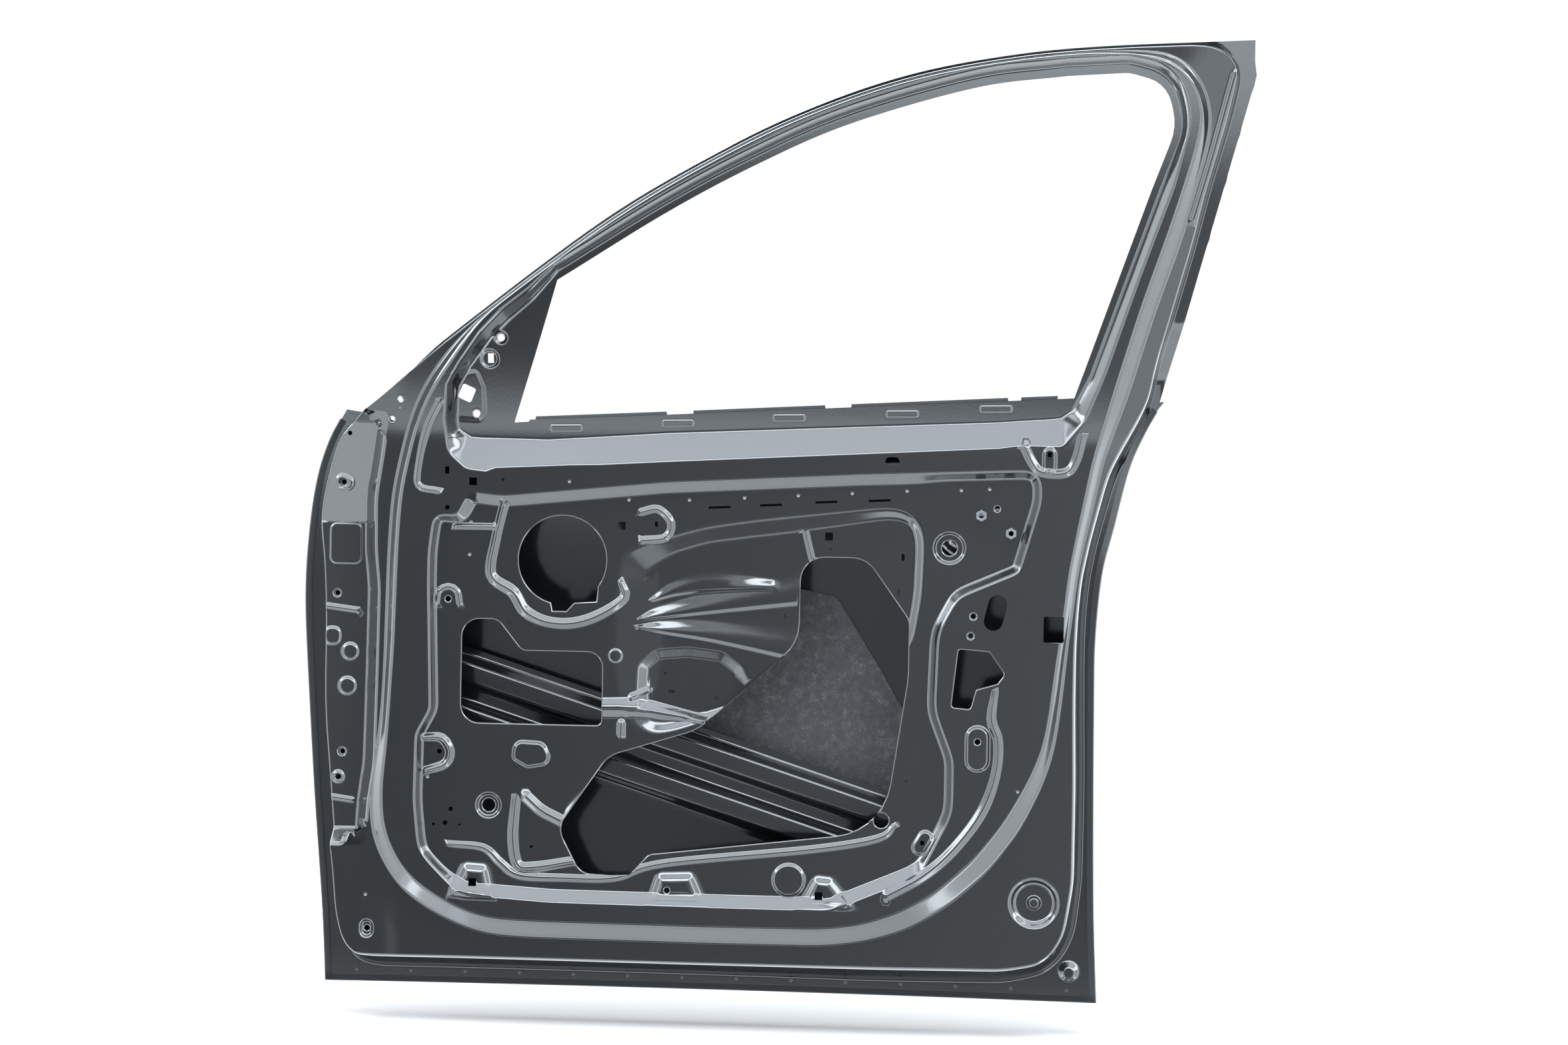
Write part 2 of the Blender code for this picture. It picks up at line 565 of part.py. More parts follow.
ACCESS_OPENING = fillet(points_mm([
    (599, -8, 30), (682, -8, 36), (738, -86, 24), (738, -160, 90), (709, -356, 80), (409, -393, 14), (385, -420, 16),
    (322, -420, 22), (291, -362, 26), (355, -268, 40), (470, -232, 70), (598, -118, 55)]))
FRONT_OPENING = fillet(points_mm([(162, -95, 26), (208, -95, 18), (240, -135, 14), (345, -135, 20), (345, -229, 7),
                                  (162, -229, 24)]))
LATCH_OPENING = fillet(points_mm([(802, -121, 4), (841, -124, 4), (861, -152, 6), (852, -164), (825, -172, 4),
                                  (818, -197, 4), (794, -195, 4)]))


def speaker_opening():
    """Round hole with the drain notch and the flat at its lower edge."""
    angles = np.radians(np.arange(-35.0, 256.0, 19.4))
    x, z = 0.291, -0.017
    arc = np.column_stack((x + SPEAKER_RADIUS * np.cos(angles), z + SPEAKER_RADIUS * np.sin(angles)))
    notch = np.array(points_mm([(279, -83), (297, -83), (307, -72), (336, -70)]))
    return np.vstack((arc, notch))


def mirror_holes(margin):
    """Give the four holes of the mirror corner, each larger by a margin all round."""
    grow = 2.0 * margin
    return [circle(0.209, 0.267, MIRROR_BOLT_HOLE + grow, 8), circle(0.175, 0.170, MIRROR_BOLT_HOLE + grow, 8),
            slot(0.195, 0.241, 0.0077 + grow, 0.012 + grow, 0, 0.0),
            slot(0.163, 0.196, 0.0185 + grow, 0.0195 + grow, -24, 0.003)]


def panel_holes():
    """Give every hole that goes through the inner panel."""
    holes = [WINDOW_EDGE, ACCESS_OPENING, FRONT_OPENING, LATCH_OPENING, speaker_opening()]
    holes += mirror_holes(0.0)
    holes += [circle(x * 0.001, z * 0.001, GROMMET_HOLE, 10) for x, z in ((788, 7), (707, -342))]
    holes += [circle(0.200, -0.335, 0.017, 10), slot(0.714, 0.116, 0.018, 0.011, 0, 0.0055)]
    holes += [slot(0.848, -0.074, 0.024, 0.046, -14, 0.012), slot(0.922, -0.094, 0.026, 0.033, 0, 0.002)]
    holes += [circle(x * 0.001, z * 0.001, LATCH_BOLT_HOLE, 8)
              for x, z in ((820, -79), (817, -104), (828, 49), (866, 27))]
    holes += [circle(-0.005, 0.079, HINGE_BOLT_HOLE, 8), circle(-0.001, -0.273, HINGE_BOLT_HOLE, 8),
              circle(-0.011, -0.066, CLIP_HOLE, 8), circle(-0.005, -0.306, 0.008, 8)]
    holes += [slot(x * 0.001, z * 0.001, CLIP_HOLE, CLIP_HOLE, 0, 0.0)
              for x, z in ((175, 82), (367, 28), (182, -434), (629, -440), (634, 19))]
    holes += [slot(x * 0.001, z * 0.001, 0.0055, 0.0094, 0, 0.0) for x, z in ((141, 96), (913, 126))]
    holes += [circle(x * 0.001, z * 0.001, 0.0075, 8)
              for x, z in ((143, -70), (434, -438), (828, -238), (848, 58), (42, -499), (66, 161), (78, 187))]
    holes += [circle(x * 0.001, z * 0.001, SMALL_HOLE, 6)
              for x, z in ((142, 48), (151, -341), (144, -359), (135, -267), (760, -369), (4, 143))]
    holes += [circle(0.950, -0.538, CLIP_HOLE, 8)]
    holes += [slot(x * 0.001, z * 0.001, 0.028, 0.003, 3, 0.0) for x, z in ((493, 54), (559, 58), (630, 63), (698, 66))]
    holes += [circle(DRAIN_START + DRAIN_PITCH * k, DRAIN_HEIGHT, DRAIN_HOLE, 6) for k in range(DRAIN_COUNT)]
    return holes


class Layout:
    """Collects the lines of a sheet and fills it with triangles."""

    def __init__(self, outline, holes):
        self.outline = counterclockwise(np.asarray(outline))
        self.holes = [counterclockwise(np.asarray(h)) for h in holes]
        self.points = []
        self.edges = []
        for ring in [self.outline] + self.holes:
            self.add(ring, True)

    def add(self, line, closed):
        start = len(self.points)
        self.points += [Vector((float(p[0]), float(p[1]))) for p in line]
        count = len(line)
        self.edges += [(start + k, start + (k + 1) % count) for k in range(count if closed else count - 1)]

    def kept(self, at):
        keep = inside(at, self.outline)
        for hole in self.holes:
            keep &= ~inside(at, hole)
        return keep

    def add_within(self, line, closed):
        """Add a line, leaving out the stretches that lie off the sheet."""
        line = np.asarray(line)
        ahead = np.roll(line, -1, axis=0) if closed else line[1:]
        here = line if closed else line[:-1]
        kept = self.kept(here) | self.kept(ahead)
        for a, b, keep in zip(here, ahead, kept):
            if keep:
                self.add(np.array((a, b)), False)

    def add_grid(self, spacing, clear):
        """Add free points where the sheet is open, so that its curve is followed."""
        low, high = self.outline.min(axis=0), self.outline.max(axis=0)
        xs = np.arange(low[0] + 0.5 * spacing, high[0], spacing)
        zs = np.arange(low[1] + 0.5 * spacing, high[1], spacing)
        at = np.array([(x, z) for x in xs for z in zs])
        at = at[self.kept(at)]
        placed = np.array([p[:] for p in self.points])
        nearest = np.sqrt(((at[:, None, :] - placed[None]) ** 2).sum(axis=2)).min(axis=1)
        self.points += [Vector((float(p[0]), float(p[1]))) for p in at[nearest > clear]]

    def triangles(self):
        """Fill the sheet and give its points and triangles."""
        points, _, faces, _, _, _ = delaunay_2d_cdt(self.points, self.edges, [], 0, 1e-5)
        at = np.array([p[:] for p in points])
        faces = np.array(faces)
        middles = at[faces].mean(axis=1)
        faces = faces[self.kept(middles)]
        used = np.unique(faces)
        renumber = np.full(len(at), -1)
        renumber[used] = np.arange(len(used))
        return at[used], renumber[faces]


def new_collection(name):
    collection = bpy.data.collections.new(name)
    bpy.context.scene.collection.children.link(collection)
    return collection


def coat(name, color, roughness, metallic):
    """Make one part's own Principled material."""
    material = bpy.data.materials.new(name)
    material.use_nodes = True
    shader = material.node_tree.nodes["Principled BSDF"]
    shader.inputs["Base Color"].default_value = (*color, 1.0)
    shader.inputs["Roughness"].default_value = roughness
    shader.inputs["Metallic"].default_value = metallic
    return material


def add_object(name, mesh, color=BLACK_COAT, roughness=0.28, metallic=0.0):
    """Put a mesh in the door's collection with its own material."""
    item = bpy.data.objects.new(name, mesh)
    PARTS.objects.link(item)
    mesh.materials.append(coat(name + "_finish", color, roughness, metallic))
    return item


def sheet_mesh(name, at, y, faces, outward):
    """Make a sheet's mesh, its faces turned to +Y where outward and to -Y where not."""
    mesh = bpy.data.meshes.new(name)
    order = faces[:, ::-1] if outward else faces
    mesh.from_pydata(np.column_stack((at[:, 0], y, at[:, 1])).tolist(), [], order.tolist())
    mesh.update()
    return mesh


def thicken(item, thickness):
    """Give a sheet its gauge, on the side that its faces turn away from."""
    solid = item.modifiers.new("gauge", "SOLIDIFY")
    solid.thickness = thickness
    solid.offset = -1.0
    solid.use_even_offset = True
    solid.thickness_clamp = 0.0
    return item


def build_inner_panel():
    """The one-piece pressed inner panel with its window frame."""
    layout = Layout(PANEL_OUTLINE, panel_holes())
    for ring in (PLATEAU_FOOT, PLATEAU_TOP, SEAL_FOOT, SEAL_TOP, GLASS_FOOT, GLASS_TOP):
        layout.add_within(ring, True)
    for form in [POCKET, MODULE, FIELD, STUD_DISH, STUD] + HINGE_PADS + EMBOSSES + BEADS:
        for line, closed in form.lines():
            layout.add_within(line, closed)
    at, faces = layout.triangles()
    mesh = sheet_mesh("inner_panel", at, panel_level(at), faces, False)
    thicken(add_object("inner_panel", mesh), PANEL_SHEET)


def flat_plate(name, outline, holes, level, thickness, follow=None):
    """A pressed plate on the outboard side of another sheet, flat or following its shape."""
    layout = Layout(outline, holes)
    if follow is not None:
        layout.add_grid(0.030, 0.012)
    at, faces = layout.triangles()
    y = np.full(len(at), level) if follow is None else follow(at) + level
    return thicken(add_object(name, sheet_mesh(name, at, y, faces, False)), thickness)


def ruled_sheet(name, rows, thickness, outward, color=BLACK_COAT):
    """A folded strip through rows of points, each row running along one fold."""
    rows = np.array(rows)
    lines, stations = rows.shape[:2]
    mesh = bpy.data.meshes.new(name)
    form = bmesh.new()
    verts = [[form.verts.new(point) for point in row] for row in rows]
    for a, b in zip(verts, verts[1:]):
        for k in range(stations - 1):
            form.faces.new((a[k], a[k + 1], b[k + 1], b[k]))
    bmesh.ops.recalc_face_normals(form, faces=form.faces)
    form.faces.ensure_lookup_table()
    lean_out = sum(face.normal.y * face.calc_area() for face in form.faces)
    if (lean_out > 0.0) != outward:
        bmesh.ops.reverse_faces(form, faces=form.faces)
    form.to_mesh(mesh)
    form.free()
    return thicken(add_object(name, mesh, color), thickness)


def handle_cup():
    """The recess of the outer handle, pressed into the skin."""
    return Pressing(slot(0.834, 0.028, 0.124, 0.062, 2, 0.030), CUP_DRAFT, -CUP_DEPTH)


def skin_level(at):
    cup = handle_cup()
    return skin_face(at) + cup.height * cup.rise(at)


def build_outer_skin():
    """The outer skin, hemmed over the panel at front, sill and rear and turned in at the belt."""
    fold = 0.5 * (2.0 * SKIN_SHEET + PANEL_SHEET + 2.0 * HEM_GAP)
    count = len(SKIN_OUTLINE)
    front, belt = len(SKIN_FRONT), len(SKIN_BELT)
    order = np.arange(count - 1, -1, -1)
    ring = SKIN_OUTLINE[order]
    on_belt = (order >= front) & (order < front + belt)
    sheet_ring = inset(ring, np.where(on_belt, 0.0, fold))
    handle_holes = [slot(0.760, 0.026, 0.016, 0.026, 2, 0.004), slot(0.914, 0.031, 0.022, 0.028, 2, 0.010)]
    layout = Layout(sheet_ring, handle_holes)
    for line, closed in handle_cup().lines():
        layout.add_within(line, closed)
    layout.add_grid(0.072, 0.030)
    at, faces = layout.triangles()
    mesh = sheet_mesh("outer_skin", at, skin_level(at), faces, True)
    form = bmesh.new()
    form.from_mesh(mesh)
    sheet_verts = list(form.verts)

    def strip(picks, section):
        """Carry the sheet's edge round a section of (inset, depth) steps."""
        rows = [[sheet_verts[int(np.argmin(np.sum((at - sheet_ring[k]) ** 2, axis=1)))] for k in picks]]
        for reach, depth in section:
            line = inset(ring, reach)[picks]
            level = skin_face(line) - depth
            rows.append([form.verts.new((x, y, z)) for (x, z), y in zip(line, level)])
        for a, b in zip(rows, rows[1:]):
            for k in range(len(picks) - 1):
                form.faces.new((a[k], b[k], b[k + 1], a[k + 1]))

    bend = math.sqrt(0.5)
    hem = [(fold * (1.0 - bend), fold * (1.0 - bend)), (0.0, fold), (fold * (1.0 - bend), fold * (1.0 + bend)),
           (fold, 2.0 * fold), (HEM_WIDTH, 2.0 * fold)]
    down_front = [k for k in range(count) if order[k] < front]
    along_sill_and_rear = [k for k in range(count) if order[k] >= front + belt]
    strip(down_front + along_sill_and_rear, hem)
    belt_picks = [k for k in range(count) if front + 2 <= order[k] < front + belt - 1]
    strip(belt_picks, [(0.0, BELT_TURN_IN)])
    bmesh.ops.recalc_face_normals(form, faces=form.faces)
    form.faces.ensure_lookup_table()
    if sum(face.normal.y * face.calc_area() for face in form.faces) < 0.0:
        bmesh.ops.reverse_faces(form, faces=form.faces)
    form.to_mesh(mesh)
    form.free()
    thicken(add_object("outer_skin", mesh), SKIN_SHEET)


def glass_side(at):
    """Give the outboard face of the panel on its glass side."""
    return GLASS_SIDE_LEVEL - lean(at[:, 1]) + PANEL_SHEET


def frame_back_level(at):
    """Give the inboard face of the outer frame panel: flanges on the inner panel, hat between."""
    on_flange = flange_level(at) + PANEL_SHEET + FACET_GAP
    hat = FRAME_BACK_LEVEL - lean(at[:, 1])
    outer = rise_between(at, FRAME_HAT_OUTER, inset(FRAME_HAT_OUTER, FRAME_HAT_DRAFT))
    lip = rise_between(at, FRAME_HAT_INNER, inset(FRAME_HAT_INNER, FRAME_HAT_DRAFT))
    level = mix(mix(on_flange, hat, outer), glass_side(at) + FACET_GAP, lip)
    return level + MIRROR_ZONE.height * MIRROR_ZONE.rise(at)


FRAME_HAT_OUTER = inset(PLATEAU_FOOT, FRAME_HAT_INSET)
FRAME_HAT_INNER = inset(GLASS_TOP, -FRAME_LIP_WIDTH)
MIRROR_ZONE = Pressing(fillet(points_mm([(155, 153, 8), (217, 154, 6), (247, 285, 6), (224, 295, 6), (191, 262),
                                         (165, 228), (152, 200, 10)])), 0.0015, MIRROR_PAD_DEPTH)


def build_frame_outer():
    """The outer half of the window frame, with its mirror corner and the foot of the rear pillar."""
    head = ROOF_LINE[ROOF_LINE[:, 0] > 0.055]
    pillar = PILLAR_LINE[1:-1]
    foot = np.array(points_mm([(1050, 262), (1044, 240), (1031, 205), (1010, 168), (973, 104), (962, 62), (922, 62),
                               (930, 150)]))
    glass = WINDOW_EDGE[(WINDOW_EDGE[:, 1] > 0.230) | (WINDOW_EDGE[:, 0] < 0.225) | (WINDOW_EDGE[:, 0] > 0.93)]
    start = int(np.argmin(np.sum((glass - np.array((0.943, 0.200))) ** 2, axis=1)))
    glass = np.roll(glass, -start, axis=0)
    front = np.array(points_mm([(216, 150), (160, 147), (84, 152), (72, 190)]))
    layout = Layout(np.vstack((head, pillar, foot, glass, front)),
                    mirror_holes(0.0020))
    for ring in (FRAME_HAT_OUTER, inset(FRAME_HAT_OUTER, FRAME_HAT_DRAFT), FRAME_HAT_INNER, inset(FRAME_HAT_INNER, FRAME_HAT_DRAFT),
                 MIRROR_ZONE.foot, MIRROR_ZONE.top):
        layout.add_within(ring, True)
    layout.add_grid(0.060, 0.025)
    at, faces = layout.triangles()
    mesh = sheet_mesh("window_frame_outer", at, frame_back_level(at), faces, False)
    thicken(add_object("window_frame_outer", mesh), FRAME_SHEET)


def along(line, x):
    """Read the height of an open line at given places along X."""
    order = np.argsort(line[:, 0])
    return np.interp(x, line[order, 0], line[order, 1])


def build_belt_reinforcements():
    """The two folded strips that stiffen the belt: one behind the panel, one behind the skin."""
    gaps = ((0.423, 0.457), (0.627, 0.660), (0.860, 0.876))
    cuts = [x for gap in gaps for x in gap]
    xs = np.array(sorted(list(np.linspace(0.252, 0.922, 12)) + [x - 0.001 for x in cuts] + cuts))
    sill = along(WINDOW_EDGE[WINDOW_EDGE[:, 1] < 0.205], xs)
    in_gap = np.zeros(len(xs), dtype=bool)
    for low, high in gaps:
        in_gap |= (xs >= low) & (xs < high - 0.0005)
    top = np.where(in_gap, BELT_TAB - BELT_GAP_DROP, BELT_TAB)
    rows = []
    for k, drop in enumerate((-top,) + BELT_FOLDS):
        z = sill - drop
        if k < 4:
            y = glass_side(np.column_stack((xs, z))) + FACET_GAP
        else:
            y = FACE_LEVEL + PANEL_SHEET + FACET_GAP - lean(z)
        rows.append(np.column_stack((xs, y, z)))
    ruled_sheet("belt_reinforcement_inner", rows, BELT_SHEET, False)

    xs = np.linspace(0.075, 1.000, 17)
    belt = along(SKIN_BELT, xs)
    rows = []
    hat = (0.0, 0.0, BELT_HAT_DEPTH, BELT_HAT_DEPTH, 0.0, 0.0)
    for drop, depth in zip(BELT_HAT_DROPS, hat):
        z = belt - drop
        y = skin_face(np.column_stack((xs, z))) - SKIN_SHEET - SKIN_FACET_GAP - depth
        rows.append(np.column_stack((xs, y, z)))
    ruled_sheet("belt_reinforcement_outer", rows, BELT_SHEET, True)


def beam_section():
    """Half-width and depth steps of the twin-crest beam, from its middle to one edge."""
    steps = [(0.5 * BEAM_VALLEY, BEAM_VALLEY_DEPTH)]
    steps.append((steps[-1][0] + BEAM_FLANK, BEAM_DEPTH))
    steps.append((steps[-1][0] + BEAM_CREST, BEAM_DEPTH))
    steps.append((steps[-1][0] + BEAM_FLANK, 0.0))
    steps.append((steps[-1][0] + BEAM_FLANGE, 0.0))
    return steps


def build_beam():
    """The side impact beam and the two brackets that carry its ends."""
    start, end = np.array(BEAM_FRONT), np.array(BEAM_REAR)
    way = (end - start) / np.linalg.norm(end - start)
    across = np.array((-way[1], way[0]))
    section = beam_section()
    profile = [(-u, v) for u, v in reversed(section)] + section
    rows = []
    for u, v in profile:
        ends = [start + across * u, end + across * u]
        rows.append([(p[0], BEAM_LEVEL - v, p[1]) for p in ends])
    ruled_sheet("side_impact_beam", rows, BEAM_SHEET, False)

    seat = BEAM_LEVEL + BEAM_SHEET + GAP
    pocket = HINGE_FACE + PANEL_SHEET + GAP
    band = BAND_LEVEL + PANEL_SHEET + GAP
    front = zip(FRONT_BRACKET, (pocket, pocket, seat, seat))
    rear = zip(REAR_BRACKET, (seat, seat, band, band))
    for name, stations in (("beam_bracket_front", front), ("beam_bracket_rear", rear)):
        rows = [[(x, y, low), (x, y, high)] for (x, low, high), y in stations]
        ruled_sheet(name, rows, BRACKET_SHEET, False)


def build_plates():
    """The reinforcement plates behind the hinges, the check strap, the latch, the mirror and the handle."""
    behind_pocket = HINGE_FACE + PANEL_SHEET + GAP
    flat_plate("hinge_reinforcement_upper",
               fillet(points_mm([(-19, -78, 5), (20, -78, 5), (20, 96, 8), (-4, 100, 6), (-11, 80), (-19, 20)])),
               [circle(-0.005, 0.079, HINGE_BOLT_HOLE, 8), circle(-0.011, -0.066, CLIP_HOLE, 8)],
               behind_pocket, PLATE_SHEET)
    flat_plate("check_strap_reinforcement",
               fillet(points_mm([(-18, -232, 5), (22, -232, 5), (22, -152, 5), (-18, -152, 5)])), [],
               behind_pocket, PLATE_SHEET)
    flat_plate("hinge_reinforcement_lower",
               fillet(points_mm([(-8, -328, 5), (14, -328, 5), (20, -240, 5), (-18, -240, 5), (-16, -280)])),
               [circle(-0.001, -0.273, HINGE_BOLT_HOLE, 8), circle(-0.005, -0.306, 0.008, 8)],
               behind_pocket, PLATE_SHEET)
    flat_plate("latch_reinforcement",
               fillet(points_mm([(809, -121, 6), (900, -121, 6), (900, -34, 6), (880, -34, 6), (809, -62, 6)])),
               [slot(0.848, -0.074, 0.028, 0.050, -14, 0.014), circle(0.820, -0.079, LATCH_BOLT_HOLE, 8),
                circle(0.817, -0.104, LATCH_BOLT_HOLE, 8)],
               FACE_LEVEL + PANEL_SHEET + GAP, BRACKET_SHEET)
    flat_plate("mirror_reinforcement",
               fillet(points_mm([(160, 158, 8), (212, 159, 8), (238, 277, 6), (224, 286, 5), (197, 260), (171, 227),
                                 (158, 198, 10)])),
               mirror_holes(0.0025), PANEL_SHEET + FACET_GAP + MIRROR_PAD_DEPTH + FRAME_SHEET + FACET_GAP,
               BRACKET_SHEET,
               follow=lambda at: GLASS_SIDE_LEVEL - lean(at[:, 1]))
    cup = handle_cup()
    layout = Layout(slot(0.837, 0.028, 0.196, 0.100, 2, 0.012),
                    [inset(cup.foot, -0.002), slot(0.760, 0.026, 0.020, 0.030, 2, 0.004),
                     slot(0.914, 0.031, 0.026, 0.032, 2, 0.012)])
    layout.add_grid(0.050, 0.020)
    at, faces = layout.triangles()
    y = skin_face(at) - SKIN_SHEET - SKIN_FACET_GAP
    thicken(add_object("handle_reinforcement", sheet_mesh("handle_reinforcement", at, y, faces, True)),
            BRACKET_SHEET)


def build_damping_pad():
    """The bitumen pad stuck to the skin's inner face."""
    layout = Layout(fillet(points_mm([(375, -60, 20), (588, -50, 20), (640, -60, 15), (690, -140, 30), (735, -215),
                                      (735, -330, 20), (375, -235, 20)])), [])
    layout.add_grid(0.070, 0.030)
    at, faces = layout.triangles()
    y = skin_face(at) - SKIN_SHEET - SKIN_FACET_GAP
    mesh = sheet_mesh("skin_damping_pad", at, y, faces, True)
    thicken(add_object("skin_damping_pad", mesh, DAMPER_GREY, 0.7), PAD_THICKNESS)


def build_glass_channels():
    """The two folded channels that guide the glass below the belt, ahead of and behind the window."""
    lines = {"front_glass_channel": ((0.222, 0.140), (0.203, -0.060)),
             "rear_glass_channel": ((0.905, 0.150), (0.872, 0.060))}
    for name, (top, bottom) in lines.items():
        turn = 1.0 if name.startswith("front") else -1.0
        rows = []
        outboard = CHANNEL_LEVEL + CHANNEL_WIDTH
        for u, y in ((CHANNEL_LIP, CHANNEL_LEVEL), (0.0, CHANNEL_LEVEL), (0.0, outboard), (CHANNEL_LIP, outboard)):
            rows.append([(p[0] + turn * u, y, p[1]) for p in (top, bottom)])
        channel = ruled_sheet(name, rows, PANEL_SHEET, False)
        channel.modifiers["gauge"].offset = 0.0


def nut_mesh():
    """One six-sided weld nut with its bore, standing along Y from its seat."""
    bpy.ops.mesh.primitive_cylinder_add(vertices=6, radius=NUT_ACROSS / math.sqrt(3.0), depth=NUT_HEIGHT,
                                        location=(0.0, 0.5 * NUT_HEIGHT, 0.0),
                                        rotation=(math.radians(90.0), 0.0, 0.0))
    nut = bpy.context.object
    bpy.ops.mesh.primitive_cylinder_add(vertices=10, radius=0.5 * NUT_BORE, depth=4.0 * NUT_HEIGHT,
                                        location=(0.0, 0.5 * NUT_HEIGHT, 0.0),
                                        rotation=(math.radians(90.0), 0.0, 0.0))
    bore = bpy.context.object
    bore.name = "nut_bore"
    bore.hide_render = True
    bore.display_type = "WIRE"
    for collection in list(bore.users_collection):
        collection.objects.unlink(bore)
    CUTTERS.objects.link(bore)
    cut = nut.modifiers.new("bore", "BOOLEAN")
    cut.operation = "DIFFERENCE"
    cut.solver = "EXACT"
    cut.object = bore
    graph = bpy.context.evaluated_depsgraph_get()
    mesh = bpy.data.meshes.new_from_object(nut.evaluated_get(graph))
    mesh.transform(nut.matrix_world)
    bpy.data.objects.remove(nut, do_unlink=True)
    return mesh


def build_nuts():
    """The weld nuts behind the hinge, latch, mirror and check strap holes."""
    pattern = nut_mesh()
    hinge_seat = HINGE_FACE + PANEL_SHEET + GAP + PLATE_SHEET + GAP
    latch_seat = FACE_LEVEL + PANEL_SHEET + GAP + BRACKET_SHEET + GAP
    face_seat = FACE_LEVEL + PANEL_SHEET + GAP
    places = {"hinge_nut_upper": (-0.005, 0.079, hinge_seat), "hinge_nut_middle": (-0.011, -0.066, hinge_seat),
              "hinge_nut_lower": (-0.001, -0.273, hinge_seat), "latch_nut_upper": (0.820, -0.079, latch_seat),
              "latch_nut_lower": (0.817, -0.104, latch_seat), "trim_nut_front": (0.828, 0.049, face_seat),
              "trim_nut_rear": (0.866, 0.027, face_seat)}
    for name, (x, z, seat) in places.items():
        nut = add_object(name, pattern.copy(), ZINC_GREY, 0.4, 1.0)
        nut.location = (x, seat, z)


for old in list(bpy.data.objects):
    bpy.data.objects.remove(old, do_unlink=True)
PARTS = new_collection("car_door_shell")
CUTTERS = new_collection("cutters")

build_inner_panel()
build_outer_skin()
build_frame_outer()
build_belt_reinforcements()
build_beam()
build_plates()
build_damping_pad()
build_glass_channels()
build_nuts()
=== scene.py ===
import math

import bmesh
import bpy
import numpy as np
from mathutils import Matrix, Vector, kdtree
from mathutils.geometry import delaunay_2d_cdt


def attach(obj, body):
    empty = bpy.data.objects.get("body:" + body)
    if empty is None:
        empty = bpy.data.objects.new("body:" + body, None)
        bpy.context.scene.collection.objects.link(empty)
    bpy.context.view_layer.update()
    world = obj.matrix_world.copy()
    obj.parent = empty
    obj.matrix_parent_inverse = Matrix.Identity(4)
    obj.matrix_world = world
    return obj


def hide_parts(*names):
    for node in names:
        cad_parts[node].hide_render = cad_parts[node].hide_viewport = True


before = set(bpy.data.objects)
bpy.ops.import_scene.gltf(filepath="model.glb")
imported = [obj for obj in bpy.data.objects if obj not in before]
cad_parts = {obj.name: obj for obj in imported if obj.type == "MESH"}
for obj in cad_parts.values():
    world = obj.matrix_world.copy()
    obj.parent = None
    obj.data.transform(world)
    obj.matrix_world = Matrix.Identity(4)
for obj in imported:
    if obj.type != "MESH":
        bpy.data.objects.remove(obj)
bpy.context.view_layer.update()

# The inner panel: one blank of 0.8 mm steel drawn into the hinge strip, the seal step, the trim
# face, the module recess and the window frame, pierced, then dipped in black electrocoat.
# The skin is hemmed to it, and most other pieces are welded to it. Lines are X, Z in millimetres
# with corner radii.
PANEL_SHEET = 0.0008
SKIN_SHEET = 0.0008
HEM_EDGE_GAP = 0.0006
HEM_GAP = 0.0004
HINGE_FACE = 0.0015
BAND_LEVEL, FACE_LEVEL = -0.030, -0.045
MODULE_LEVEL, FIELD_LEVEL = -0.034, -0.029
GLASS_SIDE_LEVEL, FRAME_FLANGE_LEVEL = -0.022, -0.005
LEAN_START, LEAN_BLEND, LEAN_SLOPE, LEAN_RADIUS = 0.090, 0.080, 0.20, 1.6
SKIN_CROWN, SKIN_CENTRE_X, SKIN_CENTRE_Z = 0.070, 0.480, -0.200
SKIN_RADIUS_X, SKIN_RADIUS_Z = 8.0, 2.2
LINE_STEP = 0.008
GUARD = 0.0012
ARC_STEP = math.radians(12.0)


def mm(rows):
    return [tuple(0.001 * v for v in row) for row in rows]


def rounded(corners, closed=True, step=ARC_STEP):
    """Round the corners that state a radius."""
    ring = []
    count = len(corners)
    for i, corner in enumerate(corners):
        here = np.array(corner[:2])
        radius = corner[2] if len(corner) > 2 else 0.0
        if radius <= 0.0 or (not closed and i in (0, count - 1)):
            ring.append(here)
            continue
        before = np.array(corners[i - 1][:2]) - here
        after = np.array(corners[(i + 1) % count][:2]) - here
        reach = 0.49 * min(np.linalg.norm(before), np.linalg.norm(after))
        before /= np.linalg.norm(before)
        after /= np.linalg.norm(after)
        half = 0.5 * math.acos(max(-1.0, min(1.0, float(before @ after))))
        if half > 0.5 * math.pi - 0.02:
            ring.append(here)
            continue
        run = min(radius / math.tan(half), reach)
        radius = run * math.tan(half)
        middle = here + (before + after) / np.linalg.norm(before + after) * (radius / math.sin(half))
        start = here + before * run - middle
        sweep = math.pi - 2.0 * half
        turn = 1.0 if start[1] * before[0] - start[0] * before[1] > 0.0 else -1.0
        steps = max(1, math.ceil(sweep / step))
        for k in range(steps + 1):
            a = turn * sweep * k / steps
            c, s = math.cos(a), math.sin(a)
            ring.append(middle + np.array((c * start[0] - s * start[1], s * start[0] + c * start[1])))
    return np.array(ring)


def traced(corners, closed=True, step=ARC_STEP):
    """Round a line whose corners are rows of x, z and radius in millimetres."""
    return rounded(mm(corners), closed, step)


def flow(knots, spacing=LINE_STEP):
    """Draw a smooth open curve through the knots."""
    pts = [np.array(k) for k in knots]
    pts = [2 * pts[0] - pts[1]] + pts + [2 * pts[-1] - pts[-2]]
    line = []
    for a, b, c, d in zip(pts, pts[1:], pts[2:], pts[3:]):
        steps = max(1, round(float(np.linalg.norm((c - b)[:2])) / spacing))
        for k in range(steps):
            t = k / steps
            line.append(0.5 * (2 * b + (c - a) * t + (2 * a - 5 * b + 4 * c - d) * t * t
                               + (3 * b - a - 3 * c + d) * t ** 3))
    line.append(pts[-2])
    return np.array(line)


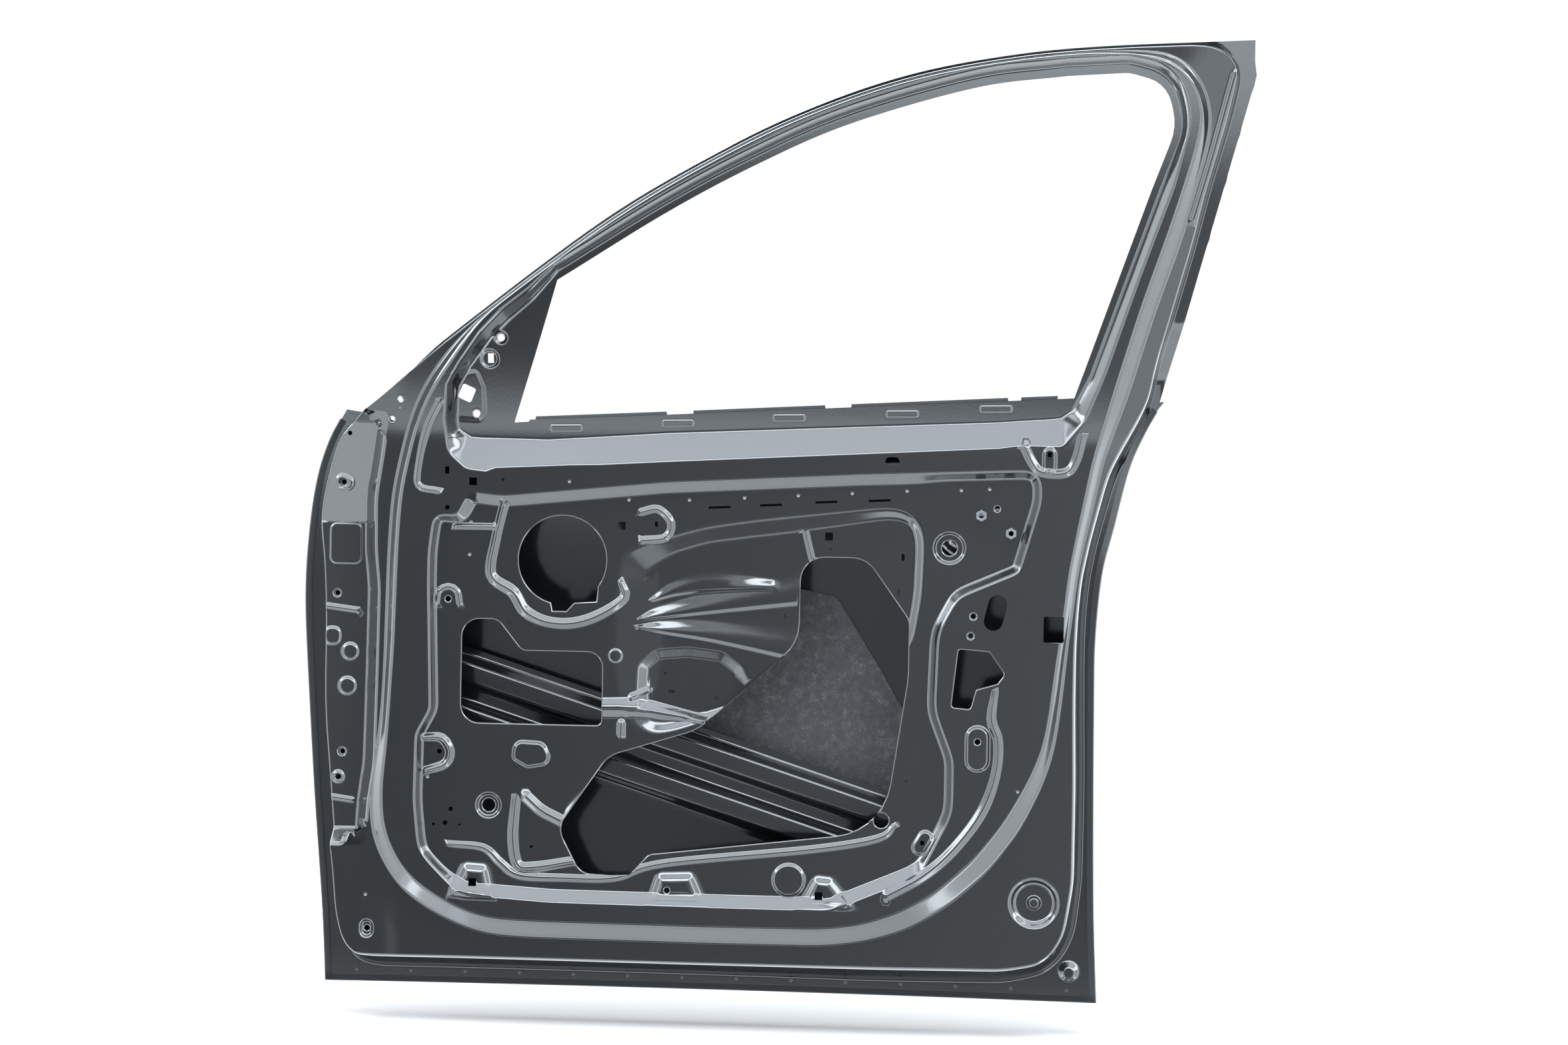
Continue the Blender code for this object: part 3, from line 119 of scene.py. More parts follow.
def divided(line, closed=True, longest=LINE_STEP):
    """Split long edges, so that the line follows a curved sheet."""
    out = []
    ends = np.roll(line, -1, axis=0) if closed else line[1:]
    for a, b in zip(line, ends):
        steps = max(1, math.ceil(float(np.linalg.norm((b - a)[:2])) / longest))
        out += [a + (b - a) * k / steps for k in range(steps)]
    return np.array(out if closed else out + [line[-1]])


def eased(rows, passes, closed=True):
    """Round a line's corners by averaging each place with its neighbours."""
    for _ in range(passes):
        mean = 0.5 * rows + 0.25 * (np.roll(rows, 1, axis=0) + np.roll(rows, -1, axis=0))
        if not closed:
            mean[0], mean[-1] = rows[0], rows[-1]
        rows = mean
    return rows


def disc(x, z, diameter, sides=20):
    angles = 2.0 * math.pi * (np.arange(sides) + 0.5) / sides
    return np.column_stack((0.001 * x + 0.0005 * diameter * np.cos(angles),
                            0.001 * z + 0.0005 * diameter * np.sin(angles)))


def slot(x, z, length, width, tilt=0.0, radius=0.0):
    """Tilted rectangle with round corners, in millimetres and degrees."""
    c, s = math.cos(math.radians(tilt)), math.sin(math.radians(tilt))
    corners = []
    for u, v in ((-1, -1), (1, -1), (1, 1), (-1, 1)):
        a, b = 0.5 * length * u, 0.5 * width * v
        corners.append((x + c * a - s * b, z + s * a + c * b, radius))
    return traced(corners, step=math.radians(22.5))


def counterclockwise(ring):
    x, z = ring[:, 0], ring[:, 1]
    return ring if np.sum(x * np.roll(z, -1) - np.roll(x, -1) * z) > 0.0 else ring[::-1]


def left_of(way):
    return np.column_stack((-way[:, 1], way[:, 0]))


def normals_of(line, closed):
    """Give the left-hand normal at each point of a line, and how far a mitre stretches there."""
    if closed:
        ahead = np.roll(line, -1, axis=0) - line
    else:
        ahead = np.vstack((np.diff(line, axis=0), line[-1] - line[-2]))
    ahead = ahead / np.maximum(1e-9, np.linalg.norm(ahead, axis=1))[:, None]
    behind = np.roll(ahead, 1, axis=0)
    if not closed:
        behind[0] = ahead[0]
    normals = left_of(ahead + behind)
    normals /= np.maximum(1e-9, np.linalg.norm(normals, axis=1))[:, None]
    return normals, 1.0 / np.maximum(0.5, np.sum(normals * left_of(ahead), axis=1))


def moved_in(ring, distance):
    """Move a closed line inwards, by one distance or by one for each point."""
    ring = counterclockwise(ring)
    normals, stretch = normals_of(ring, True)
    return ring + normals * (stretch * distance)[:, None]


def moved_left(line, distance):
    normals, _ = normals_of(line, False)
    return line + normals * np.reshape(distance, (-1, 1))


def search_tree(points):
    tree = kdtree.KDTree(len(points))
    for i, point in enumerate(points):
        tree.insert((point[0], point[1], 0.0), i)
    tree.balance()
    return tree


def nearest(tree, at):
    return np.array([tree.find((x, z, 0.0))[1] for x, z in at.tolist()])


def gap_to(start, way, at):
    """Give the share of a segment at which each place is nearest to it, and the gap from there."""
    share = np.sum((at - start) * way, axis=1) / np.maximum(1e-16, np.sum(way ** 2, axis=1))
    share = np.clip(share, 0.0, 1.0)
    return share, at - start - share[:, None] * way


class Line:
    """A closed line that tells how far each place is from it; inside counts positive."""

    def __init__(self, points):
        self.points = divided(counterclockwise(points), True, 0.5 * LINE_STEP)
        self.normals, _ = normals_of(self.points, True)
        self.tree = search_tree(self.points)

    def distance(self, at):
        near = nearest(self.tree, at)
        best, sign = np.full(len(at), np.inf), np.ones(len(at))
        for shift in (-1, 0):
            i = (near + shift) % len(self.points)
            j = (i + 1) % len(self.points)
            way = self.points[j] - self.points[i]
            share, gap = gap_to(self.points[i], way, at)
            far = np.linalg.norm(gap, axis=1)
            inwards = np.where((share >= 1.0)[:, None], self.normals[j], left_of(way))
            inwards = np.where((share <= 0.0)[:, None], self.normals[i], inwards)
            inside = np.where(np.sum(gap * inwards, axis=1) >= 0.0, 1.0, -1.0)
            sign = np.where(far < best, inside, sign)
            best = np.minimum(far, best)
        return sign * best


def within(at, ring):
    """Tell which places lie inside a closed line."""
    low, high = ring.min(axis=0), ring.max(axis=0)
    near = np.all((at > low) & (at < high), axis=1)
    result = np.zeros(len(at), dtype=bool)
    x0, z0 = ring[:, 0], ring[:, 1]
    x1, z1 = np.roll(x0, -1), np.roll(z0, -1)
    rise = np.where(z1 == z0, 1.0, z1 - z0)
    picks = np.flatnonzero(near)
    for part in np.array_split(picks, max(1, len(picks) // 4000)):
        x, z = at[part, 0:1], at[part, 1:2]
        cross = ((z0 > z) != (z1 > z)) & (x < (x1 - x0) * (z - z0) / rise + x0)
        result[part] = np.sum(cross, axis=1) % 2 == 1
    return result


def mix(a, b, t):
    return a + (b - a) * t


def smooth(t):
    t = np.clip(t, 0.0, 1.0)
    return t * t * (3.0 - 2.0 * t)


def ramp(value, start, width):
    """Go smoothly from 0 at the start to 1 a width further on; a negative width goes backwards."""
    return smooth((value - start) / width)


def shoulders(t, m):
    """A straight ramp from 0 to 1 whose two ends are rounded over a share m of its width."""
    low = (t + m) ** 2 / (4.0 * m)
    high = 1.0 - (1.0 + m - t) ** 2 / (4.0 * m)
    return np.select([t <= -m, t < m, t <= 1.0 - m, t < 1.0 + m], [np.zeros_like(t), low, t, high], 1.0)


class Wall:
    """A pressed wall between a foot line and a top line, rounded at both by the punch."""

    MOST_ROUNDED = 0.35

    def __init__(self, foot, top, soft):
        self.foot, self.top, self.soft = Line(foot), Line(top), soft
        self.rings = (foot, top)

    def share(self, at):
        from_foot, from_top = self.foot.distance(at), self.top.distance(at)
        width = np.maximum(1e-5, from_foot - from_top)
        return shoulders(from_foot / width, np.minimum(self.MOST_ROUNDED, self.soft / width))

    def rows(self):
        foot, top = self.rings
        steps = (-1.0, -0.4, 0.4, 1.0)
        soft = self.soft
        if len(foot) == len(top):
            soft = np.minimum(soft, self.MOST_ROUNDED * np.linalg.norm(top - foot, axis=1))
        guards = [(moved_in(foot, -soft - GUARD), True), (moved_in(top, soft + GUARD), True)]
        return guards + [(moved_in(ring, k * soft), True) for ring in self.rings for k in steps]


def box_of(points, reach):
    return points.min(axis=0) - reach, points.max(axis=0) + reach


def in_box(at, low, high):
    return np.flatnonzero(np.all((at > low) & (at < high), axis=1))


class Form:
    """An emboss or a dish: a closed foot line, a draft and a height towards the cabin."""

    def __init__(self, foot, draft, height, soft=None):
        self.foot = counterclockwise(np.asarray(foot))
        self.draft, self.height = draft, height
        self.soft = 0.45 * draft if soft is None else soft
        self.line = Line(self.foot)
        self.box = box_of(self.foot, self.soft)

    def add_to(self, level, at):
        near = in_box(at, *self.box)
        if len(near):
            t = self.line.distance(at[near]) / self.draft
            level[near] -= self.height * shoulders(t, np.full(len(near), self.soft / self.draft))

    def rows(self):
        soft, draft = self.soft, self.draft
        steps = (-soft - GUARD, -soft, 0.0, soft, draft - soft, draft, draft + soft, draft + soft + GUARD)
        return [(moved_in(self.foot, d), True) for d in steps]


class Bead:
    """A stiffening rib along knots of x, z and the widths of its two flanks, left and right."""

    KNOT_STEP = 0.006

    def __init__(self, knots, height):
        rows = np.array([(k[0], k[1], k[2], k[-1]) for k in knots]) * 0.001
        rows = divided(flow(rows, self.KNOT_STEP), False, self.KNOT_STEP)
        self.spine, self.left, self.right = rows[:, :2], rows[:, 2], rows[:, 3]
        self.height = height
        self.tree = search_tree(self.spine)
        self.box = box_of(self.spine, 1.2 * max(self.left.max(), self.right.max()))

    def add_to(self, level, at):
        near = in_box(at, *self.box)
        if not len(near):
            return
        places = at[near]
        first = nearest(self.tree, places)
        best, flank = np.full(len(near), np.inf), np.ones(len(near))
        for shift in (-1, 0):
            i = np.clip(first + shift, 0, len(self.spine) - 2)
            way = self.spine[i + 1] - self.spine[i]
            share, gap = gap_to(self.spine[i], way, places)
            far = np.linalg.norm(gap, axis=1)
            on_left = np.sum(gap * left_of(way), axis=1) > 0.0
            left = mix(self.left[i], self.left[i + 1], share)
            right = mix(self.right[i], self.right[i + 1], share)
            flank = np.where(far < best, np.where(on_left, left, right), flank)
            best = np.minimum(far, best)
        level[near] -= self.height * smooth(1.0 - best / flank)

    def rows(self):
        lines = [(self.spine, False)]
        for share, beyond in ((0.2, 0.0), (0.45, 0.0), (0.7, 0.0), (1.0, 0.0), (1.0, GUARD)):
            lines.append((moved_left(self.spine, share * self.left + beyond), False))
            lines.append((moved_left(self.spine, -share * self.right - beyond), False))
        return lines


def lean(z):
    """How far the window frame leans inboard at a height."""
    h = z - LEAN_START
    above = np.maximum(0.0, h - LEAN_BLEND)
    blend = LEAN_SLOPE * np.clip(h, 0.0, LEAN_BLEND) ** 2 / (2.0 * LEAN_BLEND)
    return blend + LEAN_SLOPE * above + above ** 2 / (2.0 * LEAN_RADIUS)


def skin_face(at):
    """Outer face of the skin, a crowned sheet."""
    dx, dz = at[:, 0] - SKIN_CENTRE_X, at[:, 1] - SKIN_CENTRE_Z
    return SKIN_CROWN - dx ** 2 / (2.0 * SKIN_RADIUS_X) - dz ** 2 / (2.0 * SKIN_RADIUS_Z)


RIM_CHANGE_Z, RIM_CHANGE_RISE, RIM_CHANGE_WIDTH = 0.180, 0.040, 0.080


def flange_level(at):
    """Inboard face of the panel's rim: on the skin below the belt, on the outer frame above."""
    on_skin = skin_face(at) - SKIN_SHEET - HEM_GAP - PANEL_SHEET
    on_frame = FRAME_FLANGE_LEVEL - lean(at[:, 1])
    start = RIM_CHANGE_Z + RIM_CHANGE_RISE * np.clip(at[:, 0], 0.0, 1.0)
    return mix(on_skin, on_frame, ramp(at[:, 1], start, RIM_CHANGE_WIDTH))


front_line = flow(mm([(-23, -576), (-31, -490), (-49, -321), (-62, -140), (-64, -50), (-57, 33), (-46, 92),
                      (-31, 135), (-16, 163)]), 0.012)
rear_line = flow(mm([(986, -576), (981, -438), (978, -200), (978, -110), (985, -25), (999, 36), (1017, 112),
                     (1035, 156), (1051, 186)]), 0.012)
roof_line = flow(mm([(22, 174), (140, 270), (344, 416), (504, 505), (621, 556), (736, 592), (850, 613),
                     (962, 624), (1151, 632)]), 0.012)
pillar_line = divided(traced([(1151, 632), (1152, 608, 6), (1155, 592, 6), (1118, 446), (1082, 307),
                              (1062, 232)], False), False, 0.012)
belt_line = np.array(mm([(-7, 175), (12, 172), (60, 160), (243, 159), (420, 168), (600, 177), (780, 187),
                         (943, 196), (1020, 198), (1059, 199)]))
sill_x = np.linspace(rear_line[0, 0], front_line[0, 0], 60)[1:-1]
sill_line = np.column_stack((sill_x, np.full(len(sill_x), rear_line[0, 1])))
skin_outline = np.vstack((front_line, belt_line, rear_line[::-1], sill_line))
window_head = np.vstack((
    flow(mm([(284, 340), (426, 424), (544, 484), (660, 532), (813, 574), (925, 588)]))[:-1],
    traced([(925, 588), (1000, 592, 40), (1046, 580, 45), (1060, 530, 60), (1033, 458), (954, 231)],
            False)))
window_sill = traced([(943, 200, 4), (423, 172), (245, 163), (242, 159), (224, 159, 3)], False)
window_edge = counterclockwise(divided(np.vstack((window_head, window_sill))))


def panel_outline():
    """The sheet's own edge: held inside the hem below, the frame's rim above."""
    count = len(front_line)
    inner = moved_in(skin_outline, SKIN_SHEET + HEM_EDGE_GAP)[::-1]
    rest = inner[count + len(belt_line):]
    nose = np.array(mm([(-6, 170), (9, 168), (14, 162), (21, 166)]))
    return np.vstack((inner[:count], nose, roof_line, pillar_line[1:], rest))


def full_ring(rows, head_x, head_inset, head_draft, front, front_draft, passes):
    """Join lower rows, a stretch along the roof and a front line; give the ring and its draft."""
    head = moved_left(roof_line, head_inset)[::-1]
    head = head[(head[:, 0] > head_x[0]) & (head[:, 0] < head_x[1])]
    draft = np.concatenate((rows[:, 2], np.full(len(head), head_draft), np.full(len(front), front_draft)))
    ring = eased(np.column_stack((np.vstack((rows[:, :2], head, front)), draft)), passes)
    return ring[:, :2], ring[:, 2]


def plateau_wall():
    """Wall that lifts the panel off the rim all round; rows of foot X, foot Z and draft."""
    rows = divided(np.array([
        (-16, -378, 5), (-10, -425, 5), (-5, -480, 5), (2, -520, 8), (16, -545, 14), (41, -554, 20),
        (160, -554, 21), (478, -555, 22), (700, -556, 24), (867, -553, 23), (917, -541, 20), (940, -520, 17),
        (955, -488, 14), (963, -418, 11), (964, -296, 12), (962, -194, 12), (961, -124, 11), (962, -78, 10),
        (966, -32, 10), (975, 16, 9), (997, 100, 10), (1009, 126, 9), (1035, 176, 8), (1043, 202, 5),
        (1047, 226, 5), (1052, 251, 5), (1060, 281, 5), (1068, 311, 5), (1088, 386, 5), (1104, 456, 5),
        (1125, 535, 5), (1136, 588, 5), (1135, 610, 4)]) * 0.001, False)
    front = flow(mm([(-4, 158), (-18, 131), (-31, 88), (-38, 53), (-40, 27), (-36, -9), (-33, -50),
                     (-31, -111), (-30, -214), (-20, -327)]))
    ring, draft = full_ring(rows, (0.030, 1.118), -0.0035, 0.003, front, 0.005, 5)
    return Wall(ring, moved_in(ring, draft), 0.0030)


def seal_wall():
    """Step that the body's door seal presses on; rows of the middle line and half the draft."""
    rows = divided(np.array([
        (68, -125, 6), (66, -167, 5), (64, -210, 5), (60, -261, 6), (54, -309, 7), (54, -352, 8),
        (61, -384, 9), (77, -415, 9), (95, -438, 10), (120, -456, 10), (149, -472, 10), (178, -484, 10),
        (210, -491, 10), (260, -493, 10), (485, -494, 10), (636, -493, 10), (686, -486, 10), (736, -470, 11),
        (785, -441, 11), (834, -397, 11), (873, -346, 10), (902, -291, 8), (917, -250, 6), (924, -210, 5),
        (929, -166, 5), (934, -120, 4), (940, -75, 4), (945, -26, 4), (952, 12, 4), (966, 79, 5),
        (974, 120, 5), (984, 152, 6), (1001, 206, 8), (1032, 311, 8), (1061, 397, 8), (1078, 455, 7),
        (1089, 497, 6), (1095, 532, 5), (1092, 556, 5), (1083, 578, 5), (1068, 595, 5), (1047, 607, 5),
        (1020, 612, 4)]) * 0.001, False)
    front = flow(mm([(148, 246), (124, 214), (105, 180), (92, 145), (79, 90), (73, 46), (69, -40)]))
    ring, half = full_ring(rows, (0.165, 0.985), -0.011, 0.0015, front, 0.006, 8)
    return Wall(moved_in(ring, -half), moved_in(ring, half), 0.0030)


def glass_wall():
    """Slope from the trim face down to the glass side: belt, pillar, header lip and mirror corner."""
    foot_low = traced([(137, 160), (142, 119, 20), (165, 99, 20), (191, 96), (204, 101), (300, 106),
                       (340, 107), (425, 112), (849, 135), (876, 139), (930, 138, 14), (957, 172)], False)
    foot_pillar = mm([(980, 231), (1019, 348), (1058, 458)])
    top_low = traced([(149, 165), (152, 148, 10), (168, 139), (269, 137), (424, 148), (849, 168),
                      (926, 174, 10), (941, 184, 6)], False)
    foot_front = mm([(250, 326), (214, 300), (186, 272), (157, 232), (141, 205)])
    top_front = mm([(252, 316), (222, 291), (196, 266), (168, 230), (152, 203)])
    head = window_head[::-1]
    foot_head = moved_left(head, -0.017)
    foot_head = foot_head[((foot_head[:, 1] > 0.470) | (foot_head[:, 0] < 0.9)) & (foot_head[:, 0] > 0.29)]
    top_head = moved_left(head, -0.010)
    top_head = top_head[top_head[:, 0] > 0.28]
    foot = np.vstack((foot_low, foot_pillar, foot_head, foot_front))
    top = np.vstack((top_low, top_head, top_front))
    return Wall(divided(counterclockwise(foot)), divided(counterclockwise(top)), 0.0028)


def recess(rows, draft, soft):
    """Wall round a recess; the draft is one width or a function of x and z."""
    foot = eased(divided(counterclockwise(traced(rows)), True, 0.006), 4)
    if callable(draft):
        draft = eased(draft(foot[:, 0], foot[:, 1]), 12)
    return Wall(foot, moved_in(foot, draft), soft)


plateau, seal, glass = plateau_wall(), seal_wall(), glass_wall()
pocket = recess([(-90, -392), (38, -390, 10), (41, -336), (48, -286), (50, -161), (51, -57, 30),
                 (46, -9, 30), (45, 61, 60), (62, 172, 10), (-90, 178)], 0.018, 0.0030)
module = recess([(425, 84), (213, 63), (170, 68, 12), (155, 37, 12), (125, 39, 14), (119, -10), (119, -55),
                 (124, -212, 14), (106, -245, 14), (105, -330), (112, -395, 45), (165, -449, 45), (283, -456),
                 (485, -457), (646, -457, 40), (757, -410, 40), (797, -330, 60), (797, -262, 40),
                 (773, -200, 30), (776, -100, 60), (800, -55, 25), (877, -22, 12), (903, 68), (902, 107, 32),
                 (676, 98)],
                lambda x, z: np.where(x < 0.15, 0.007,
                                      np.where(z < -0.40, 0.014, np.where(x > 0.76, 0.009, 0.012))),
                0.0024)
field_rows = divided(np.array([
    (369, -6, 40), (362, -80, 60), (362, -150, 60), (372, -204, 40), (388, -228, 24), (412, -239, 14),
    (440, -233, 10), (520, -205, 8), (600, -150, 6), (700, -150, 6), (742, -118, 8), (753, -54, 9),
    (755, 6, 9), (754, 26, 10), (745, 44, 10), (728, 54, 11), (706, 56, 13), (636, 49, 18), (576, 43, 22),
    (536, 38, 22), (475, 28, 20), (425, 14, 22)]) * 0.001)
field_rows = eased(field_rows, 4)
field = Wall(field_rows[:, :2], moved_in(field_rows[:, :2], field_rows[:, 2]), 0.0040)
mount_dish = Form(disc(903, -443, 63, 40), 0.007, -0.007, 0.0025)
mount_stud = Form(disc(903, -443, 18, 24), 0.003, 0.005)
corner_dish = Form(disc(950, -538, 27, 24), 0.007, 0.003, 0.002)
hinge_pad = Form(slot(0, -1, 43, 54, 0, 9), 0.0015, 0.0015)
trapezoids = ([(150, -453), (168, -409, 10), (202, -411, 10), (212, -454)],
              [(408, -454), (420, -416, 10), (468, -414, 10), (486, -454)],
              [(600, -456), (622, -414, 10), (646, -416, 10), (678, -454)])
TRAPEZOID_DRAFT, TRAPEZOID_HEIGHT, TRAPEZOID_SOFT = 0.011, 0.005, 0.0045
EMBOSS_DRAFT = 0.003
embosses = [Form(traced(ring), TRAPEZOID_DRAFT, TRAPEZOID_HEIGHT, TRAPEZOID_SOFT) for ring in trapezoids]
embosses += [Form(ring, EMBOSS_DRAFT, height) for ring, height in (
    (disc(788, 7, 41, 32), -0.004), (disc(200, -335, 33, 28), -0.004), (disc(590, -421, 43, 32), 0.003),
    (slot(828, -247, 59, 31, 90, 15.5), 0.004), (slot(760, -369, 34, 20, 60, 10), 0.003),
    (slot(42, -499, 24, 18, 90, 9), -0.004),
    (slot(-3, 79, 27, 20, -20, 10), 0.002), (disc(8, -142, 24, 24), 0.002), (disc(5, -187, 25, 24), 0.002),
    (disc(-5, -306, 18, 20), 0.002), (slot(-16, -122, 24, 25, 0, 10), 0.002),
    (disc(209, 267, 18, 20), -0.003), (disc(194, 240, 25, 24), -0.003),
    (slot(913, 120, 34, 18, 90, 9), 0.003),
    (traced([(232, -250, 14), (272, -252, 14), (284, -280, 12), (250, -286, 12), (230, -275, 8)]),
             0.004))]
beads = [Bead(knots, 0.001 * height) for knots, height in (
    ([(215, 56, 7), (204, 8, 7), (199, -38, 8), (228, -60, 9), (244, -84, 9), (272, -97, 8), (307, -98, 8),
      (342, -86, 8), (372, -64, 7), (368, -45, 5)], 4),
    ([(153, 24, 5), (200, 24, 5)], 3),
    ([(392, 46, 6), (414, 50, 6), (431, 33, 6), (424, 14, 6), (394, 10, 6)], 3),
    ([(408, -66, 4, 4), (440, -56, 20, 6), (490, -49, 26, 8), (560, -46, 10, 6)], 1.8),
    ([(392, -91, 3, 3), (420, -87, 16, 4), (500, -76, 32, 6), (600, -63, 44, 8)], 3),
    ([(392, -101, 3, 3), (424, -106, 16, 5), (490, -115, 30, 6), (600, -136, 44, 8)], 3),
    ([(340, -206, 15), (390, -206, 15), (440, -213, 10), (478, -220, 5)], 5),
    ([(371, -240, 7), (371, -226, 7)], 3),
    ([(384, -192, 7), (404, -182, 5)], 3),
    ([(116, -249, 6), (138, -250, 7), (149, -266, 7), (143, -283, 7), (118, -292, 6)], 4),
    ([(150, -386, 5), (195, -390, 6), (218, -409, 7), (242, -424, 7), (300, -426, 6), (366, -424, 6),
      (429, -404, 6), (619, -381, 6), (703, -365, 6), (724, -348, 4)], 2.5),
    ([(236, -327, 7), (233, -375, 8), (240, -410, 8), (262, -413, 8), (312, -404, 7)], 4),
    ([(250, -323, 9), (270, -340, 9), (294, -352, 9)], 4),
    ([(849, -174, 5), (845, -209, 7), (854, -238, 7), (851, -281, 7), (834, -328, 8), (800, -375, 8),
      (763, -409, 8), (717, -436, 8)], 4),
    ([(604, 24, 5), (615, -20, 5)], 3),
    ([(131, 182, 6), (115, 150, 6), (105, 110, 5), (104, 76, 5), (130, 69, 5)], 3),
    ([(-24, -83, 5), (16, -88, 5)], 2),
    ([(-17, -332, 5), (14, -336, 5)], 2),
    ([(881, 137, 7), (892, 116, 7), (904, 105, 7), (934, 105, 7), (946, 122, 7), (953, 150, 7)], 4),
    ([(128, -75, 5), (131, -60, 5), (143, -54, 5), (155, -60, 5), (158, -75, 5)], 2),
    ([(1128, 590, 8), (1116, 540, 8), (1104, 490, 8), (1085, 420, 8)], 4))]
forms = [hinge_pad, mount_dish, mount_stud] + embosses + beads

access_opening = traced([
    (599, -8, 30), (682, -8, 36), (738, -86, 24), (738, -160, 90), (709, -356, 80), (409, -393, 14),
    (385, -420, 16), (322, -420, 22), (291, -362, 26), (355, -268, 40), (470, -232, 70), (598, -118, 55)])
front_opening = traced([(162, -95, 26), (208, -95, 18), (240, -135, 14), (345, -135, 20),
                        (345, -229, 7), (162, -229, 24)])
latch_opening = traced([(802, -121, 4), (841, -124, 4), (861, -152, 6), (852, -164), (825, -172, 4),
                        (818, -197, 4), (794, -195, 4)])
SPEAKER_X, SPEAKER_Z, SPEAKER_RADIUS = 0.291, -0.017, 0.057
speaker_turn = np.radians(np.arange(-35.0, 256.0, 4.85))
speaker_round = np.column_stack((SPEAKER_X + SPEAKER_RADIUS * np.cos(speaker_turn),
                                 SPEAKER_Z + SPEAKER_RADIUS * np.sin(speaker_turn)))
speaker_opening = np.vstack((speaker_round, mm([(279, -83), (297, -83), (307, -72), (336, -70)])))
round_holes = [(209, 267, 9.4), (175, 170, 9.4), (788, 7, 19.5), (707, -342, 19.5), (200, -335, 17),
               (820, -79, 8.5), (817, -104, 8.5), (828, 49, 8.5), (866, 27, 8.5), (-5, 79, 11),
               (-1, -273, 11), (-11, -66, 10), (-5, -306, 8), (143, -70, 7.5), (434, -438, 7.5),
               (828, -238, 7.5), (848, 58, 7.5), (42, -499, 7.5), (66, 161, 7.5), (78, 187, 7.5),
               (142, 48, 6), (151, -341, 6), (144, -359, 6), (135, -267, 6), (760, -369, 6), (4, 143, 6),
               (950, -538, 10)]
small_holes = [(214, 85, 4), (636, 3, 5), (557, -140, 4), (426, -160, 4), (492, -191, 5), (129, -361, 4),
               (163, -361, 3), (257, -387, 4), (737, -291, 4)]
small_holes += [(18 + 71.5 * k, -561, 5) for k in range(14)]
slots = [(195, 241, 7.7, 12, 0, 0), (163, 196, 18.5, 19.5, -24, 3), (714, 116, 18, 11, 0, 5.5),
         (848, -74, 24, 46, -14, 12), (922, -94, 26, 33, 0, 2), (175, 82, 10, 10, 0, 0),
         (367, 28, 10, 10, 0, 0), (182, -434, 10, 10, 0, 0), (629, -440, 10, 10, 0, 0),
         (634, 19, 10, 10, 0, 0), (141, 96, 5.5, 9.4, 0, 0), (913, 126, 5.5, 9.4, 0, 0),
         (493, 54, 28, 3, 3, 0), (559, 58, 28, 3, 3, 0), (630, 63, 28, 3, 3, 0), (698, 66, 28, 3, 3, 0),
         (412, 31, 4, 7, 0, 2), (224, -99, 4, 8, 40, 2), (729, -6, 4, 9, 0, 2), (724, -51, 4, 9, 0, 2),
         (580, -84, 4, 6, 0, 1), (434, -184, 8, 4, 0, 2)]
RIM_ROLL, SMALLEST_ROLLED = 0.0012, 7.0
TICK_DIAMETER, TICK_DRAFT, TICK_DEPTH, TICK_SOFT = 4.5, 0.0018, 0.0008, 0.0006
cut_edges = [access_opening, front_opening, latch_opening, speaker_opening]
cut_edges += [disc(x, z, d, 20) for x, z, d in round_holes if d > SMALLEST_ROLLED]
rims = [Form(moved_in(ring, -RIM_ROLL), RIM_ROLL, -0.5 * RIM_ROLL, 0.0002) for ring in cut_edges]
ticks = [(376, 62), (454, 63), (525, 67), (594, 71), (663, 75), (733, 79), (802, 81), (838, 83), (170, -12),
         (171, 30), (300, 84), (120, -300), (600, -300), (880, -300), (40, -455), (35, -60), (76, 176)]
forms += rims + [Form(disc(x, z, TICK_DIAMETER, 10), TICK_DRAFT, -TICK_DEPTH, TICK_SOFT) for x, z in ticks]
arch = [(390, -178), (391, -150, 14), (412, -130, 18), (455, -126, 30), (500, -131, 20), (523, -148, 12),
        (548, -182), (560, -238), (500, -230), (392, -207)]
mirror_pad = [(146, 160, 8), (146, 222), (178, 228, 8), (188, 205, 14), (189, 170, 12), (180, 158, 10)]
forms.append(Form(traced(arch), 0.013, -0.0040, 0.0020))
forms.append(Form(traced(mirror_pad), 0.006, -0.0015, 0.0015))
forms.append(Form(disc(362, -139, 19, 20), 0.0022, 0.0012, 0.0008))
belt_tabs = ((292, 153), (437, 161), (580, 170), (725, 177), (844, 185))
forms += [Form(slot(x, z, 42, 10, 1.2, 3), 0.0020, 0.0012) for x, z in belt_tabs]
openings = [window_edge, access_opening, front_opening, latch_opening, speaker_opening]
holes = openings + [disc(x, z, d, 20) for x, z, d in round_holes]
holes += [disc(x, z, d, 10) for x, z, d in small_holes] + [slot(*row) for row in slots]


SLIGHT_TILT, STRIP_TILT, FULL_TILT = (math.tan(math.radians(a)) for a in (1.2, 2.0, 7.5))
STRIP_PIVOT_X, STRIP_CREASE_Z, STRIP_CREASE_WIDTH = -0.020, 0.025, 0.004
BAND_WIDTH = 0.060
REAR_TILT_Z, REAR_TILT_X, FRONT_TILT_X = (-0.20, 0.30), (0.900, 0.040), (0.090, -0.030)


def tilted(level, at):
    """Let the hinge strip face forwards a little, and the band outside the seal step outwards."""
    x, z = at[:, 0], at[:, 1]
    in_pocket = pocket.share(at)
    turn = mix(STRIP_TILT, FULL_TILT, ramp(z, STRIP_CREASE_Z, STRIP_CREASE_WIDTH))
    level = level - turn * (x - STRIP_PIVOT_X) * in_pocket
    rear = FULL_TILT * ramp(z, *REAR_TILT_Z) * ramp(x, *REAR_TILT_X)
    front = SLIGHT_TILT * ramp(x, *FRONT_TILT_X)
    out = np.clip(-seal.foot.distance(at), 0.0, BAND_WIDTH)
    return level + (rear + front) * out * (1.0 - in_pocket)


